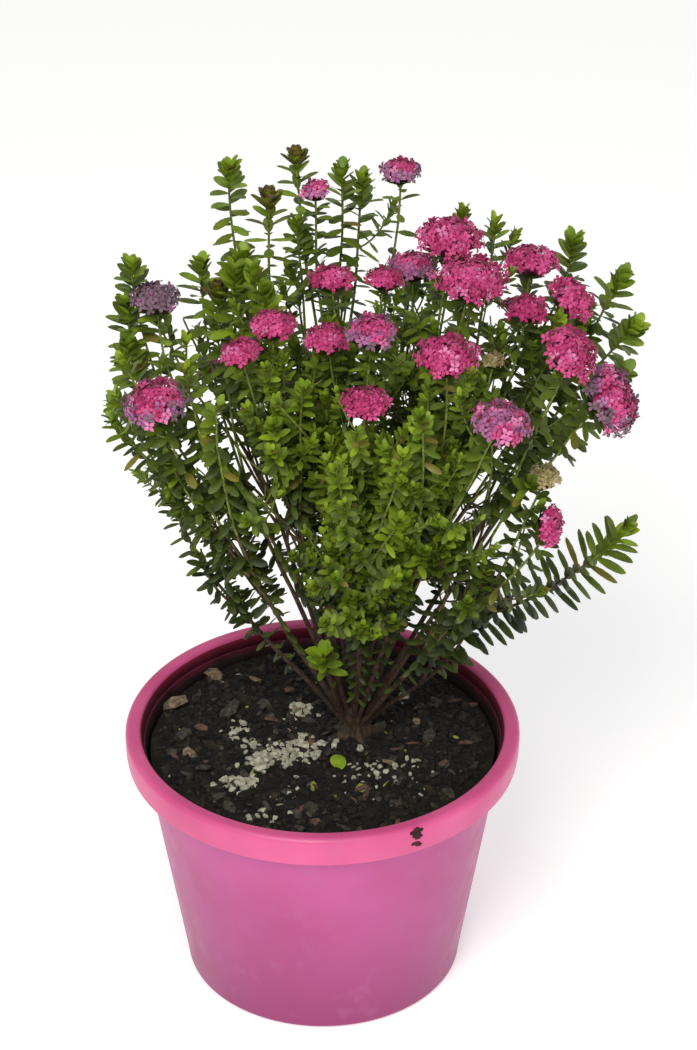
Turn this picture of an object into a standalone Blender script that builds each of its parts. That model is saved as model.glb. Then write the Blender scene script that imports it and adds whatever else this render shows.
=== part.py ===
"""A rice flower (Pimelea) in bloom in a 140 mm nursery pot, as separate named solids.

Metres, +Z up.  The origin is the middle of the pot's flat underside.

The shrub is laid out on rays from one crown point just under the soil.  Every mass of
foliage has a middle ray, and owns the wedge of space nearer to that ray than to any
other.  Its bough runs up the middle ray, and its shoots, leaves and flower heads are
kept inside the wedge, so that no two masses and no two boughs ever meet.
"""

import math
import random
from collections import namedtuple

import bmesh
import bpy
from mathutils import Matrix, Vector

MM = 0.001
SEED = 44
GAP = 0.3 * MM

# Pot: a squat 140 mm nursery pot with a rolled collar.
POT_TOP = 98.0 * MM
RIM_RADIUS = 70.0 * MM
COLLAR_DEPTH = 11.0 * MM
MOUTH_RADIUS = 64.5 * MM
SHOULDER_RADIUS = 63.3 * MM
FOOT_RADIUS = 49.8 * MM
WALL = 1.6 * MM
FLOOR_THICKNESS = 2.4 * MM
POT_STEPS = 32
DRAIN_HOLES = 6
DRAIN_RADIUS = 4.0 * MM
DRAIN_RING = 34.0 * MM
DRAIN_STEPS = 10

# Potting mix, filled to just under the collar.
SOIL_TOP = 91.0 * MM
SOIL_EDGE_DROP = 1.6 * MM

# Woody crown: a squat stem with a root flare and a domed head that the boughs leave.
CROWN_POINT = Vector((11.0, 6.0, 90.0)) * MM
HEAD_RADIUS = 14.0 * MM
HEAD_LEAN = math.radians(48.0)
WAIST_RADIUS = 8.6 * MM
FLARE_RADIUS = 10.6 * MM
FLARE_OFFSET = Vector((1.2, 1.4)) * MM
STEM_STEPS = 18

# Boughs and shoots.
BOUGH_FOOT_RADIUS = 1.35 * MM
BOUGH_TIP_RADIUS = 0.85 * MM
STEM_RADIUS = 0.8 * MM
STEM_TIP_RADIUS = 0.72 * MM
SHOOT_RADIUS = 0.62 * MM
SHOOT_TIP_RADIUS = 0.45 * MM
SHOOT_POINTS = 4
BOUGH_SIDES = 6
TWIG_SIDES = 3
SHOOTS_PER_MASS = 3
FILL_SPREAD = 0.62
GOLDEN_ANGLE = math.radians(137.5)

# Foliage and blossom: leaves are larger than life, because there are fewer of them.
LEAF_LENGTH = 22.0 * MM
LEAF_WIDTH = 11.0 * MM
LEAF_THICKNESS = 1.3 * MM
LEAF_SUNK = 0.35 * MM
LEAF_ANGLES = (52.0, 38.0, 24.0)
LEAF_SWAY = 7.0
LEADER_PAIRS = 4
SIDE_PAIRS = 2
STEM_PAIRS = 2
LOWEST_PAIR = 0.16
HIGHEST_PAIR = 0.95
HEAD_WIDTH = 22.0 * MM
HEAD_HEIGHT = 12.0 * MM
BUD_WIDTH = 11.0 * MM
LEAST_HEAD = 7.0 * MM
SPACE_MARGIN = 0.2 * MM
FOLIAGE_FLOOR = 4.0 * MM
LEAF_PROUD = 8.0 * MM

Tip = namedtuple("Tip", "azimuth lean reach kind")
Mass = namedtuple("Mass", "name azimuth lean bough_end tips")


def leafy(azimuth, lean, reach):
    """A shoot that ends in a tuft of leaves; degrees and millimetres from the crown point."""
    return Tip(azimuth, lean, reach, "leafy")


def bloom(azimuth, lean, reach):
    """A shoot that ends in an open flower head."""
    return Tip(azimuth, lean, reach, "bloom")


def bud(azimuth, lean, reach):
    """A shoot that ends in a small bud or a dried head."""
    return Tip(azimuth, lean, reach, "bud")


# Each mass: name, azimuth and lean of its middle ray, where its bough ends, its main shoots.
MASSES = (
    Mass("top_front", -90, 8.5, 52, (bloom(-109, 9, 175), bloom(-79, 11, 183), bloom(-130, 3, 185))),
    Mass("top_right", -8, 9.5, 54, (bloom(-2, 9, 200), bloom(-28, 12, 198), bud(17, 11, 203))),
    Mass("top_rear_right", 50, 9, 56, (bloom(46, 7, 213), leafy(60, 12, 196))),
    Mass("top_rear", 112, 9.5, 56, (bud(121, 10, 213), bloom(117, 7, 204), leafy(97, 10, 210))),
    Mass("top_left", 168, 10.5, 56, (leafy(156, 12, 219), bud(156, 8, 208))),
    Mass("front", -87, 22.5, 42, (bloom(-87, 19, 175), leafy(-93, 27, 166), leafy(-80, 27, 147))),
    Mass("front_left", -138, 14.5, 46, (bloom(-135, 12, 182), bloom(-137, 17, 180), leafy(-148, 12, 193))),
    Mass("front_right", -57, 22.5, 44, (bloom(-60, 18, 189), bloom(-54, 26, 181))),
    Mass("left", -177, 20, 50, (bloom(-175, 20, 189), leafy(-179, 22, 202), leafy(171, 17, 192))),
    Mass("left_front", -148, 27, 44, (bloom(-144, 26, 178), leafy(-157, 26, 186), leafy(-152, 31, 172))),
    Mass("left_low", -168, 35, 36, (leafy(-171, 33, 142), leafy(-166, 36, 117), leafy(-168, 38, 92))),
    Mass("right_front", -27, 27.5, 46, (bloom(-26, 30, 184), bloom(-31, 25, 196))),
    Mass("right_low", -43, 34.5, 38, (bud(-39, 32, 156), bloom(-40, 37, 142), leafy(-47, 31, 138))),
    Mass("right", -12, 19.5, 50, (bloom(0, 18, 196), bloom(-18, 18, 189), bloom(-10, 22, 194))),
    Mass("right_outer", 8, 28, 48, (leafy(4, 27, 200), leafy(0, 30, 189), leafy(12, 24, 200))),
    Mass("right_arching", -8, 46, 34, (leafy(-7, 47, 131), leafy(-11, 45, 104))),
    Mass("rear_right", 32, 20, 50, (leafy(28, 17, 197), bloom(36, 22, 188), leafy(34, 25, 180))),
    Mass("rear_right_outer", 68, 24, 46, (leafy(68, 22, 192), bloom(72, 26, 178))),
    Mass("rear", 105, 25, 44, (bloom(103, 23, 184), leafy(110, 28, 176))),
    Mass("rear_left", 145, 22.5, 46, (leafy(146, 21, 196), bloom(140, 25, 182))),
    Mass("rear_low_left", 152, 37, 36, (leafy(152, 37, 138), leafy(158, 39, 112))),
    Mass("rear_low_right", 52, 38, 36, (leafy(52, 38, 134), leafy(46, 36, 120))),
)

PALETTE = {
    "pot": ((0.62, 0.15, 0.36), 0.45),
    "potting_mix": ((0.018, 0.014, 0.010), 0.95),
    "bark": ((0.13, 0.075, 0.040), 0.85),
    "green_stem": ((0.16, 0.15, 0.055), 0.70),
    "leaf": ((0.075, 0.125, 0.018), 0.50),
}


# ---------------------------------------------------------------- scene helpers

def clear_scene():
    """Start from an empty scene."""
    for thing in list(bpy.data.objects):
        bpy.data.objects.remove(thing, do_unlink=True)


def new_collection(name):
    """Add a collection to the scene."""
    collection = bpy.data.collections.new(name)
    bpy.context.scene.collection.children.link(collection)
    return collection


def material(slot):
    """Return the Principled material of a palette slot, made on first use."""
    found = bpy.data.materials.get(slot)
    if found:
        return found
    colour, roughness = PALETTE[slot]
    made = bpy.data.materials.new(slot)
    made.use_nodes = True
    shader = made.node_tree.nodes["Principled BSDF"]
    shader.inputs["Base Color"].default_value = (*colour, 1.0)
    shader.inputs["Roughness"].default_value = roughness
    shader.inputs["Metallic"].default_value = 0.0
    return made


def add_object(name, data, collection, slot):
    """Link a new object with one material."""
    data.materials.clear()
    data.materials.append(material(slot))
    thing = bpy.data.objects.new(name, data)
    collection.objects.link(thing)
    return thing


def evaluated_mesh(thing):
    """Return a new mesh of an object with its modifiers applied."""
    bpy.context.view_layer.update()
    depsgraph = bpy.context.evaluated_depsgraph_get()
    return bpy.data.meshes.new_from_object(thing.evaluated_get(depsgraph))


def weld(mesh):
    """Join the loose caps of a tube to its wall."""
    sheet = bmesh.new()
    sheet.from_mesh(mesh)
    bmesh.ops.remove_doubles(sheet, verts=sheet.verts, dist=1e-6)
    sheet.to_mesh(mesh)
    sheet.free()


def turned(name, profile, steps, collection, slot):
    """Turn a profile of (radius, height) points about +Z with a Screw modifier."""
    mesh = bpy.data.meshes.new(name)
    sheet = bmesh.new()
    corners = [sheet.verts.new((radius, 0.0, height)) for radius, height in profile]
    for first, second in zip(corners, corners[1:]):
        sheet.edges.new((first, second))
    sheet.to_mesh(mesh)
    sheet.free()
    thing = add_object(name, mesh, collection, slot)
    screw = thing.modifiers.new("Turn", "SCREW")
    screw.axis = "Z"
    screw.steps = steps
    screw.render_steps = steps
    screw.use_merge_vertices = True
    screw.merge_threshold = 1e-5
    return thing


def replace_mesh(thing, mesh, slot):
    """Give an object a finished mesh in place of its modifiers."""
    thing.modifiers.clear()
    old = thing.data
    thing.data = mesh
    mesh.materials.clear()
    mesh.materials.append(material(slot))
    bpy.data.meshes.remove(old)


def section(sides):
    """A closed outline of the given number of sides, for tubes to be swept with."""
    curve = bpy.data.curves.new("section", "CURVE")
    spline = curve.splines.new("POLY")
    spline.points.add(sides - 1)
    spline.use_cyclic_u = True
    for side, knot in enumerate(spline.points):
        angle = -2 * math.pi * side / sides
        knot.co = (math.cos(angle), math.sin(angle), 0.0, 1.0)
    return bpy.data.objects.new("section", curve)


def tube(name, points, radii, sides, collection, slot, roll=0.0):
    """Make a closed tube mesh along straight runs, with a radius at each point."""
    outline = section(sides)
    curve = bpy.data.curves.new(name, "CURVE")
    curve.dimensions = "3D"
    curve.bevel_mode = "OBJECT"
    curve.bevel_object = outline
    curve.use_fill_caps = True
    spline = curve.splines.new("POLY")
    spline.points.add(len(points) - 1)
    for knot, place, radius in zip(spline.points, points, radii):
        knot.co = (*place, 1.0)
        knot.radius = radius
        knot.tilt = roll
    holder = bpy.data.objects.new(name + "_curve", curve)
    collection.objects.link(holder)
    mesh = evaluated_mesh(holder)
    weld(mesh)
    thing = add_object(name, mesh, collection, slot)
    thing.matrix_world = holder.matrix_world
    for guide in (holder, outline):
        data = guide.data
        bpy.data.objects.remove(guide, do_unlink=True)
        bpy.data.curves.remove(data)
    return thing


# ---------------------------------------------------------------- pot and soil

def arc(centre, radius, start, end, steps):
    """Points of an arc in the (radius, height) plane, from start to end in degrees."""
    points = []
    for step in range(steps + 1):
        angle = math.radians(start + (end - start) * step / steps)
        points.append((centre[0] + radius * math.cos(angle), centre[1] + radius * math.sin(angle)))
    return points


def pot_profile():
    """Run from the floor's middle up the inside, over the rolled lip and down the outside."""
    lip = 1.3 * MM
    collar_foot = POT_TOP - COLLAR_DEPTH
    skirt = 1.5 * MM
    profile = [
        (0.0, FLOOR_THICKNESS),
        (FOOT_RADIUS - WALL, FLOOR_THICKNESS),
        (MOUTH_RADIUS - 1.2 * MM, POT_TOP - 5.0 * MM),
    ]
    profile += arc((MOUTH_RADIUS + lip, POT_TOP - lip), lip, 180, 90, 2)
    profile += arc((RIM_RADIUS - 2.4 * MM, POT_TOP - 2.0 * MM), 2.0 * MM, 90, 20, 3)
    profile += [
        (RIM_RADIUS, POT_TOP - 6.5 * MM),
        (RIM_RADIUS - 0.3 * MM, collar_foot + 0.8 * MM),
        (RIM_RADIUS - 0.9 * MM, collar_foot),
        (RIM_RADIUS - skirt - 0.5 * MM, collar_foot),
        (RIM_RADIUS - skirt - 0.5 * MM, POT_TOP - 4.0 * MM),
        (SHOULDER_RADIUS + 1.0 * MM, POT_TOP - 4.0 * MM),
        (SHOULDER_RADIUS, collar_foot),
        (FOOT_RADIUS, 2.2 * MM),
    ]
    profile += arc((FOOT_RADIUS - 1.6 * MM, 1.6 * MM), 1.6 * MM, 0, -90, 3)
    profile.append((0.0, 0.0))
    return profile


def make_pot(parts, cutters):
    """Turn the pot and cut the drain holes through its floor."""
    pot = turned("pot", pot_profile(), POT_STEPS, parts, "pot")
    for index in range(DRAIN_HOLES):
        angle = 2 * math.pi * (index + 0.5) / DRAIN_HOLES
        sheet = bmesh.new()
        place = Vector((DRAIN_RING * math.cos(angle), DRAIN_RING * math.sin(angle), FLOOR_THICKNESS / 2))
        bmesh.ops.create_cone(
            sheet, cap_ends=True, segments=DRAIN_STEPS, radius1=DRAIN_RADIUS, radius2=DRAIN_RADIUS,
            depth=4 * FLOOR_THICKNESS, matrix=Matrix.Translation(place))
        mesh = bpy.data.meshes.new("drain_cutter")
        sheet.to_mesh(mesh)
        sheet.free()
        cutter = add_object("drain_cutter_%d" % index, mesh, cutters, "pot")
        cutter.hide_render = True
        cutter.display_type = "WIRE"
    cut = pot.modifiers.new("Drain holes", "BOOLEAN")
    cut.operation = "DIFFERENCE"
    cut.operand_type = "COLLECTION"
    cut.collection = cutters
    return pot


def inner_radius(height):
    """Radius of the pot's inner wall at a height."""
    low_radius = FOOT_RADIUS - WALL
    high_radius = MOUTH_RADIUS - 1.2 * MM
    share = (height - FLOOR_THICKNESS) / (POT_TOP - 5.0 * MM - FLOOR_THICKNESS)
    return low_radius + (high_radius - low_radius) * share


def make_potting_mix(parts):
    """Turn the soil plug: flat round the plant, a little lower at the pot's wall."""
    base = FLOOR_THICKNESS + GAP
    edge = SOIL_TOP - SOIL_EDGE_DROP
    profile = [
        (0.0, SOIL_TOP),
        (28.0 * MM, SOIL_TOP),
        (46.0 * MM, SOIL_TOP - 0.6 * MM),
        (inner_radius(edge) - GAP, edge),
        (inner_radius(base) - GAP, base),
        (0.0, base),
    ]
    return turned("potting_mix", profile, POT_STEPS, parts, "potting_mix")


def make_main_stem(parts):
    """Turn the woody crown, then slide its foot sideways so that it leans."""
    x, y, z = CROWN_POINT
    foot = SOIL_TOP + GAP - z
    shoulder = HEAD_RADIUS * math.cos(HEAD_LEAN)
    profile = arc((0.0, 0.0), HEAD_RADIUS, 90, 90 - math.degrees(HEAD_LEAN), 5)
    profile[0] = (0.0, HEAD_RADIUS)
    profile += [
        (WAIST_RADIUS, 0.62 * shoulder),
        (WAIST_RADIUS + 0.4 * MM, 0.40 * shoulder),
        (FLARE_RADIUS, foot),
        (0.0, foot),
    ]
    stem = turned("main_stem", profile, STEM_STEPS, parts, "bark")
    mesh = evaluated_mesh(stem)
    for vertex in mesh.vertices:
        drop = max(0.0, (shoulder - vertex.co.z) / (shoulder - foot))
        vertex.co.x += x + FLARE_OFFSET.x * drop
        vertex.co.y += y + FLARE_OFFSET.y * drop
        vertex.co.z += z
    replace_mesh(stem, mesh, "bark")
    return stem


# ---------------------------------------------------------------- the shrub's spaces

def ray(azimuth, lean):
    """Unit vector at an azimuth and a lean from the vertical, in degrees."""
    turn = math.radians(azimuth)
    tilt = math.radians(lean)
    return Vector((math.sin(tilt) * math.cos(turn), math.sin(tilt) * math.sin(turn), math.cos(tilt)))


class Space:
    """The wedge of space that one mass keeps to."""

    def __init__(self, mass):
        self.axis = ray(mass.azimuth, mass.lean)
        self.start = mass.bough_end * MM
        self.spread = 0.0
        for tip in mass.tips:
            self.spread = max(self.spread, math.sin(math.radians(tip.lean)) * tip.reach * MM + LEAF_PROUD)
        self.walls = []
        for rival in MASSES:
            if rival.name != mass.name:
                normal = self.axis - ray(rival.azimuth, rival.lean)
                self.walls.append(normal.normalized())

    def room(self, place):
        """Distance from a place to the nearest wall of the wedge."""
        offset = place - CROWN_POINT
        return min(offset.dot(wall) for wall in self.walls)

    def holds(self, place, radius=0.0):
        """Whether a ball is inside the wedge, past the bough's end, above the pot and in the crown."""
        offset = place - CROWN_POINT
        beyond = offset.dot(self.axis) - radius >= self.start + GAP
        over_pot = place.z - radius > POT_TOP + FOLIAGE_FLOOR
        in_crown = offset.xy.length + radius <= self.spread
        return beyond and over_pot and in_crown and self.room(place) >= radius + SPACE_MARGIN


def make_bough(mass, parts):
    """One tapering limb up the mass's middle ray, as stout at its foot as its space allows."""
    space = Space(mass)
    foot_length = HEAD_RADIUS + GAP
    foot = CROWN_POINT + space.axis * foot_length
    foot_radius = min(BOUGH_FOOT_RADIUS, space.room(foot) - SPACE_MARGIN)
    points = []
    radii = []
    for share in (0.0, 0.35, 1.0):
        length = foot_length + (space.start - foot_length) * share
        points.append(CROWN_POINT + space.axis * length)
        radii.append(foot_radius + (BOUGH_TIP_RADIUS - foot_radius) * share)
    return tube("bough_" + mass.name, points, radii, BOUGH_SIDES, parts, "bark")


# ---------------------------------------------------------------- foliage masses

def fill_tips(mass, space, rng):
    """The main shoots, then leafy ones fanned round the middle ray until there are enough."""
    tips = []
    for tip in mass.tips:
        tips.append((CROWN_POINT + ray(tip.azimuth, tip.lean) * tip.reach * MM, tip.kind))
    longest = max(tip.reach for tip in mass.tips) * MM
    side = space.axis.orthogonal().normalized()
    turn = rng.uniform(0.0, 2 * math.pi)
    while len(tips) < SHOOTS_PER_MASS:
        turn += GOLDEN_ANGLE
        reach = longest * rng.uniform(0.62, 0.86)
        across = Matrix.Rotation(turn, 3, space.axis) @ side
        centre = CROWN_POINT + space.axis * reach
        width = space.room(centre) * FILL_SPREAD * rng.uniform(0.7, 1.0)
        tips.append((centre + across * width, "leafy"))
    return tips


def shoot_path(start, tip, axis):
    """A curve that leaves along the mass's axis and bows out to its tip."""
    reach = (tip - start).length
    bend = start + axis * 0.36 * reach + (tip - start) * 0.10
    path = []
    for step in range(SHOOT_POINTS):
        share = step / (SHOOT_POINTS - 1)
        path.append(start * (1 - share) ** 2 + bend * 2 * share * (1 - share) + tip * share ** 2)
    return path


def along(path, share):
    """Place and direction at a share of a path's points."""
    position = share * (len(path) - 1)
    index = min(int(position), len(path) - 2)
    step = path[index + 1] - path[index]
    return path[index] + step * (position - index), step.normalized()


def add_leaf(root, outward, face, space, sprays, index):
    """A flat six-faced leaf, keeled below, rooted in the twig; skipped where it would leave the space."""
    across = face.cross(outward).normalized()
    normal = outward.cross(across).normalized()
    centre = root + outward * (LEAF_LENGTH / 2 - LEAF_SUNK)
    frame = Matrix((
        (outward.x * LEAF_LENGTH / 2, across.x * LEAF_WIDTH / 2, normal.x * LEAF_THICKNESS / 2, centre.x),
        (outward.y * LEAF_LENGTH / 2, across.y * LEAF_WIDTH / 2, normal.y * LEAF_THICKNESS / 2, centre.y),
        (outward.z * LEAF_LENGTH / 2, across.z * LEAF_WIDTH / 2, normal.z * LEAF_THICKNESS / 2, centre.z),
        (0.0, 0.0, 0.0, 1.0)))
    # The bipyramid stands on its pole, so its poles are turned onto the leaf's length.
    turn = Matrix.Rotation(math.pi / 2, 4, "Y")
    sheet = bmesh.new()
    bmesh.ops.create_uvsphere(
        sheet, u_segments=3, v_segments=2, radius=1.0, matrix=frame @ turn)
    fits = all(space.holds(vertex.co) for vertex in sheet.verts)
    if fits:
        mesh = bpy.data.meshes.new("leaf")
        sheet.to_mesh(mesh)
        add_object("leaf_%d" % index, mesh, sprays, "leaf")
    sheet.free()
    return fits


def add_head(tip, direction, width, space, sprays, index):
    """A flattened flower head on its shoot's tip, made smaller where its space is narrow."""
    width = min(width, 2 * (space.room(tip) - SPACE_MARGIN))
    if width < LEAST_HEAD:
        return
    height = min(HEAD_HEIGHT, 0.6 * width)
    turn = direction.to_track_quat("Z", "Y").to_matrix().to_4x4()
    size = Matrix.Diagonal((width / 2, width / 2, height / 2, 1.0))
    sheet = bmesh.new()
    bmesh.ops.create_uvsphere(
        sheet, u_segments=8, v_segments=3, radius=1.0, matrix=Matrix.Translation(tip) @ turn @ size)
    mesh = bpy.data.meshes.new("head")
    sheet.to_mesh(mesh)
    sheet.free()
    add_object("head_%d" % index, mesh, sprays, "leaf")


def add_leaf_pairs(path, pairs, space, sprays, count, rng):
    """Opposite leaves up a shoot, each pair turned a quarter round, folded in where it is narrow."""
    turn = rng.uniform(0.0, math.pi)
    for pair in range(pairs):
        spread = (pair + rng.uniform(-0.25, 0.0)) / (pairs - 1)
        share = LOWEST_PAIR + (HIGHEST_PAIR - LOWEST_PAIR) * max(0.0, spread)
        for half in (0.0, math.pi):
            root, direction = along(path, share + rng.uniform(0.0, 0.012))
            side = direction.orthogonal().normalized()
            away = Matrix.Rotation(turn + half + rng.uniform(-0.2, 0.2), 3, direction) @ side
            sway = rng.uniform(-LEAF_SWAY, LEAF_SWAY)
            for opening in LEAF_ANGLES:
                angle = math.radians(opening + sway)
                outward = direction * math.cos(angle) + away * math.sin(angle)
                if add_leaf(root, outward, direction, space, sprays, count):
                    break
            count += 1
        turn += math.pi / 2 + rng.uniform(-0.25, 0.25)
    return count


def join_all(base, sprays):
    """Fuse a collection into one body with a Boolean union, then remove its objects."""
    union = base.modifiers.new("Fuse", "BOOLEAN")
    union.operation = "UNION"
    union.operand_type = "COLLECTION"
    union.collection = sprays
    union.solver = "MANIFOLD"
    mesh = evaluated_mesh(base)
    for thing in list(sprays.objects):
        data = thing.data
        bpy.data.objects.remove(thing, do_unlink=True)
        bpy.data.meshes.remove(data)
    keep_main_body(mesh)
    replace_mesh(base, mesh, "leaf")


def islands(sheet):
    """Lists of the faces of each separate shell."""
    seen = set()
    shells = []
    for seed_face in sheet.faces:
        if seed_face in seen:
            continue
        seen.add(seed_face)
        shell = [seed_face]
        for face in shell:
            for edge in face.edges:
                for neighbour in edge.link_faces:
                    if neighbour not in seen:
                        seen.add(neighbour)
                        shell.append(neighbour)
        shells.append(shell)
    return shells


def shell_volume(shell):
    """Signed volume of a shell of triangles; negative for the wall of a sealed hollow."""
    total = 0.0
    for face in shell:
        first = face.verts[0].co
        for second, third in zip(face.verts[1:], face.verts[2:]):
            total += first.dot(second.co.cross(third.co)) / 6
    return total


def keep_main_body(mesh):
    """Drop loose scraps and sealed hollows, and leave triangles."""
    sheet = bmesh.new()
    sheet.from_mesh(mesh)
    bmesh.ops.triangulate(sheet, faces=sheet.faces)
    shells = sorted(islands(sheet), key=shell_volume)
    for shell in shells[:-1]:
        bmesh.ops.delete(sheet, geom=shell, context="FACES")
    loose = [vertex for vertex in sheet.verts if not vertex.link_faces]
    bmesh.ops.delete(sheet, geom=loose, context="VERTS")
    sheet.to_mesh(mesh)
    sheet.free()


def make_mass(mass, parts, sprays, rng):
    """One stem past the bough's end, shoots that branch from it, leaves and flower heads."""
    space = Space(mass)
    axis = space.axis
    tips = fill_tips(mass, space, rng)
    longest = max((tip - CROWN_POINT).length for tip, _ in tips)
    stem_start = space.start + GAP
    stem_end = space.start + 0.42 * (longest - space.start)
    stem_points = [CROWN_POINT + axis * stem_start, CROWN_POINT + axis * stem_end]
    stem = tube("mass_" + mass.name, stem_points, (STEM_RADIUS, STEM_TIP_RADIUS), TWIG_SIDES, parts, "leaf")
    count = add_leaf_pairs(stem_points, STEM_PAIRS, space, sprays, 0, rng)
    for order, (tip, kind) in enumerate(tips):
        share = 0.96 if order == 0 else rng.uniform(0.12, 0.80)
        reach = (tip - CROWN_POINT).dot(axis)
        start_reach = min(stem_start + (stem_end - stem_start) * share, 0.72 * reach)
        start = CROWN_POINT + axis * max(start_reach, stem_start + 2.0 * MM)
        path = shoot_path(start, tip, axis)
        if not all(space.holds(place, SHOOT_TIP_RADIUS) for place in path):
            continue
        radii = []
        for step in range(SHOOT_POINTS):
            share = step / (SHOOT_POINTS - 1)
            wanted = SHOOT_RADIUS + (SHOOT_TIP_RADIUS - SHOOT_RADIUS) * share
            radii.append(min(wanted, space.room(path[step]) - SPACE_MARGIN))
        roll = rng.uniform(0.3, 1.6)
        tube("shoot_%d" % order, path, radii, TWIG_SIDES, sprays, "leaf", roll)
        pairs = LEADER_PAIRS if order == 0 else SIDE_PAIRS
        count = add_leaf_pairs(path, pairs, space, sprays, count, rng)
        direction = (path[-1] - path[-2]).normalized()
        if kind == "bloom":
            add_head(tip, direction, HEAD_WIDTH, space, sprays, order)
        if kind == "bud":
            add_head(tip, direction, BUD_WIDTH, space, sprays, order)
    join_all(stem, sprays)
    return stem


def shade(parts):
    """Smooth the round pieces up to a sharp edge."""
    for thing in parts.objects:
        thing.data.shade_smooth()
        thing.data.set_sharp_from_angle(angle=math.radians(35))


def main():
    """Build the pot, the soil and the shrub."""
    clear_scene()
    parts = new_collection("potted_rice_flower")
    cutters = new_collection("cutters")
    sprays = new_collection("sprays")
    make_pot(parts, cutters)
    make_potting_mix(parts)
    make_main_stem(parts)
    for order, mass in enumerate(MASSES):
        make_bough(mass, parts)
        make_mass(mass, parts, sprays, random.Random(SEED + order))
    bpy.data.collections.remove(sprays)
    shade(parts)


main()
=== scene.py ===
import math
import random

import bmesh
import bpy
import numpy as np
from mathutils import Matrix, Vector, noise


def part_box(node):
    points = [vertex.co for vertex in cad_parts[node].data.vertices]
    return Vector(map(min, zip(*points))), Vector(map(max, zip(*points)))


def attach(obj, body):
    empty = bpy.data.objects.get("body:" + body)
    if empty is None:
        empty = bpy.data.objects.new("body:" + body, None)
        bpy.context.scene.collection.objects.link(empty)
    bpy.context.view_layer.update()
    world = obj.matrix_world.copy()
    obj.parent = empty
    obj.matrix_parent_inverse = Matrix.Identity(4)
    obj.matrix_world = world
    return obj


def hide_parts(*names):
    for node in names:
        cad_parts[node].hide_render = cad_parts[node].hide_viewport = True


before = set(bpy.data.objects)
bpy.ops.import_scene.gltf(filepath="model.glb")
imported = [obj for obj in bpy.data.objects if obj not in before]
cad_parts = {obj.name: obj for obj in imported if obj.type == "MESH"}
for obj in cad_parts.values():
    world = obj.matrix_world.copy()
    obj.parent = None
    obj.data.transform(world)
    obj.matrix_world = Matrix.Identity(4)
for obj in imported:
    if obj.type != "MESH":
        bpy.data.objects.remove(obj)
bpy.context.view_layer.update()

# ---- sizes, in metres
MM = 0.001
SEED = 7

# Without a seed of its own, the vector noise below starts from the clock.
noise.seed_set(SEED)

POT_LOW, POT_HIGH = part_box("pot")
POT_TOP = POT_HIGH[2]
RIM_RADIUS = (POT_HIGH[0] - POT_LOW[0]) / 2
COLLAR_FOOT = POT_TOP - 11.0 * MM
MOUTH_RADIUS = 64.5 * MM
SHOULDER_RADIUS = 63.3 * MM
FOOT_RADIUS = 49.8 * MM
WALL = 1.6 * MM
FLOOR_THICKNESS = 2.4 * MM
TURN_STEPS = 144

SOIL_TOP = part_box("potting_mix")[1][2]
SOIL_RADIUS = 61.3 * MM

CROWN_POINT = Vector((11.0, 6.0, 90.0)) * MM
GOLDEN_ANGLE = math.radians(137.5)
# A whole turn, near enough, for things that are turned at random.
ANY_TURN = 6.28


# ---- materials
def linear(colour):
    """Turn an sRGB hex colour into the linear values that shaders take."""
    values = []
    for start in (0, 2, 4):
        part = int(colour[start:start + 2], 16) / 255
        values.append(part / 12.92 if part <= 0.04045 else ((part + 0.055) / 1.055) ** 2.4)
    return (*values, 1.0)


def add_node(tree, kind, inputs=None, **settings):
    """Add a node, set its settings, and fill its inputs with values or links."""
    made = tree.nodes.new(kind)
    for name, value in settings.items():
        setattr(made, name, value)
    for name, value in (inputs or {}).items():
        if isinstance(value, bpy.types.NodeSocket):
            tree.links.new(value, made.inputs[name])
        else:
            made.inputs[name].default_value = value
    return made


def new_material(name, roughness, ior=1.5):
    """Start a Principled material and return it with its tree, shader and coordinates."""
    made = bpy.data.materials.new(name)
    made.use_nodes = True
    tree = made.node_tree
    shader = tree.nodes["Principled BSDF"]
    shader.inputs["Roughness"].default_value = roughness
    shader.inputs["IOR"].default_value = ior
    place = add_node(tree, "ShaderNodeTexCoord").outputs["Object"]
    return made, tree, shader, place


def grain(tree, place, size, detail):
    """A noise whose grain has the given size in metres."""
    inputs = {"Vector": place, "Scale": 1 / size, "Detail": detail}
    return add_node(tree, "ShaderNodeTexNoise", inputs).outputs["Fac"]


def mottled(tree, place, dark, light, patch, detail, low=0.35, high=0.65):
    """A colour that drifts between two tones in patches of the given size in metres."""
    ramp = add_node(tree, "ShaderNodeValToRGB", {"Fac": grain(tree, place, patch, detail)})
    for stop, share, tone in zip(ramp.color_ramp.elements, (low, high), (dark, light)):
        stop.position = share
        stop.color = linear(tone)
    return ramp.outputs["Color"]


def remapped(tree, value, low, high, to_low=0.0, to_high=1.0):
    """A value stretched from one range to another and held at its ends."""
    inputs = {"Value": value, "From Min": low, "From Max": high, "To Min": to_low, "To Max": to_high}
    return add_node(tree, "ShaderNodeMapRange", inputs).outputs["Result"]


def blend_colours(tree, share, first, second):
    """Mix a linked colour with a plain one by a share."""
    mixed = add_node(tree, "ShaderNodeMix", {"Factor": share}, data_type="RGBA")
    sockets = [socket for socket in mixed.inputs if socket.type == "RGBA"]
    tree.links.new(first, sockets[0])
    sockets[1].default_value = second
    return [socket for socket in mixed.outputs if socket.type == "RGBA"][0]


def add_bump(tree, shader, height, distance, strength):
    """Drive the shader's normal with a height value."""
    bump = add_node(tree, "ShaderNodeBump", {"Height": height, "Distance": distance, "Strength": strength})
    tree.links.new(bump.outputs["Normal"], shader.inputs["Normal"])


def two_toned(name, roughness, ior, *tones):
    """Start a material whose colour is mottled: its tones are two colours, a patch size and so on."""
    made, tree, shader, place = new_material(name, roughness, ior)
    tree.links.new(mottled(tree, place, *tones), shader.inputs["Base Color"])
    return made, tree, shader, place


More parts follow.
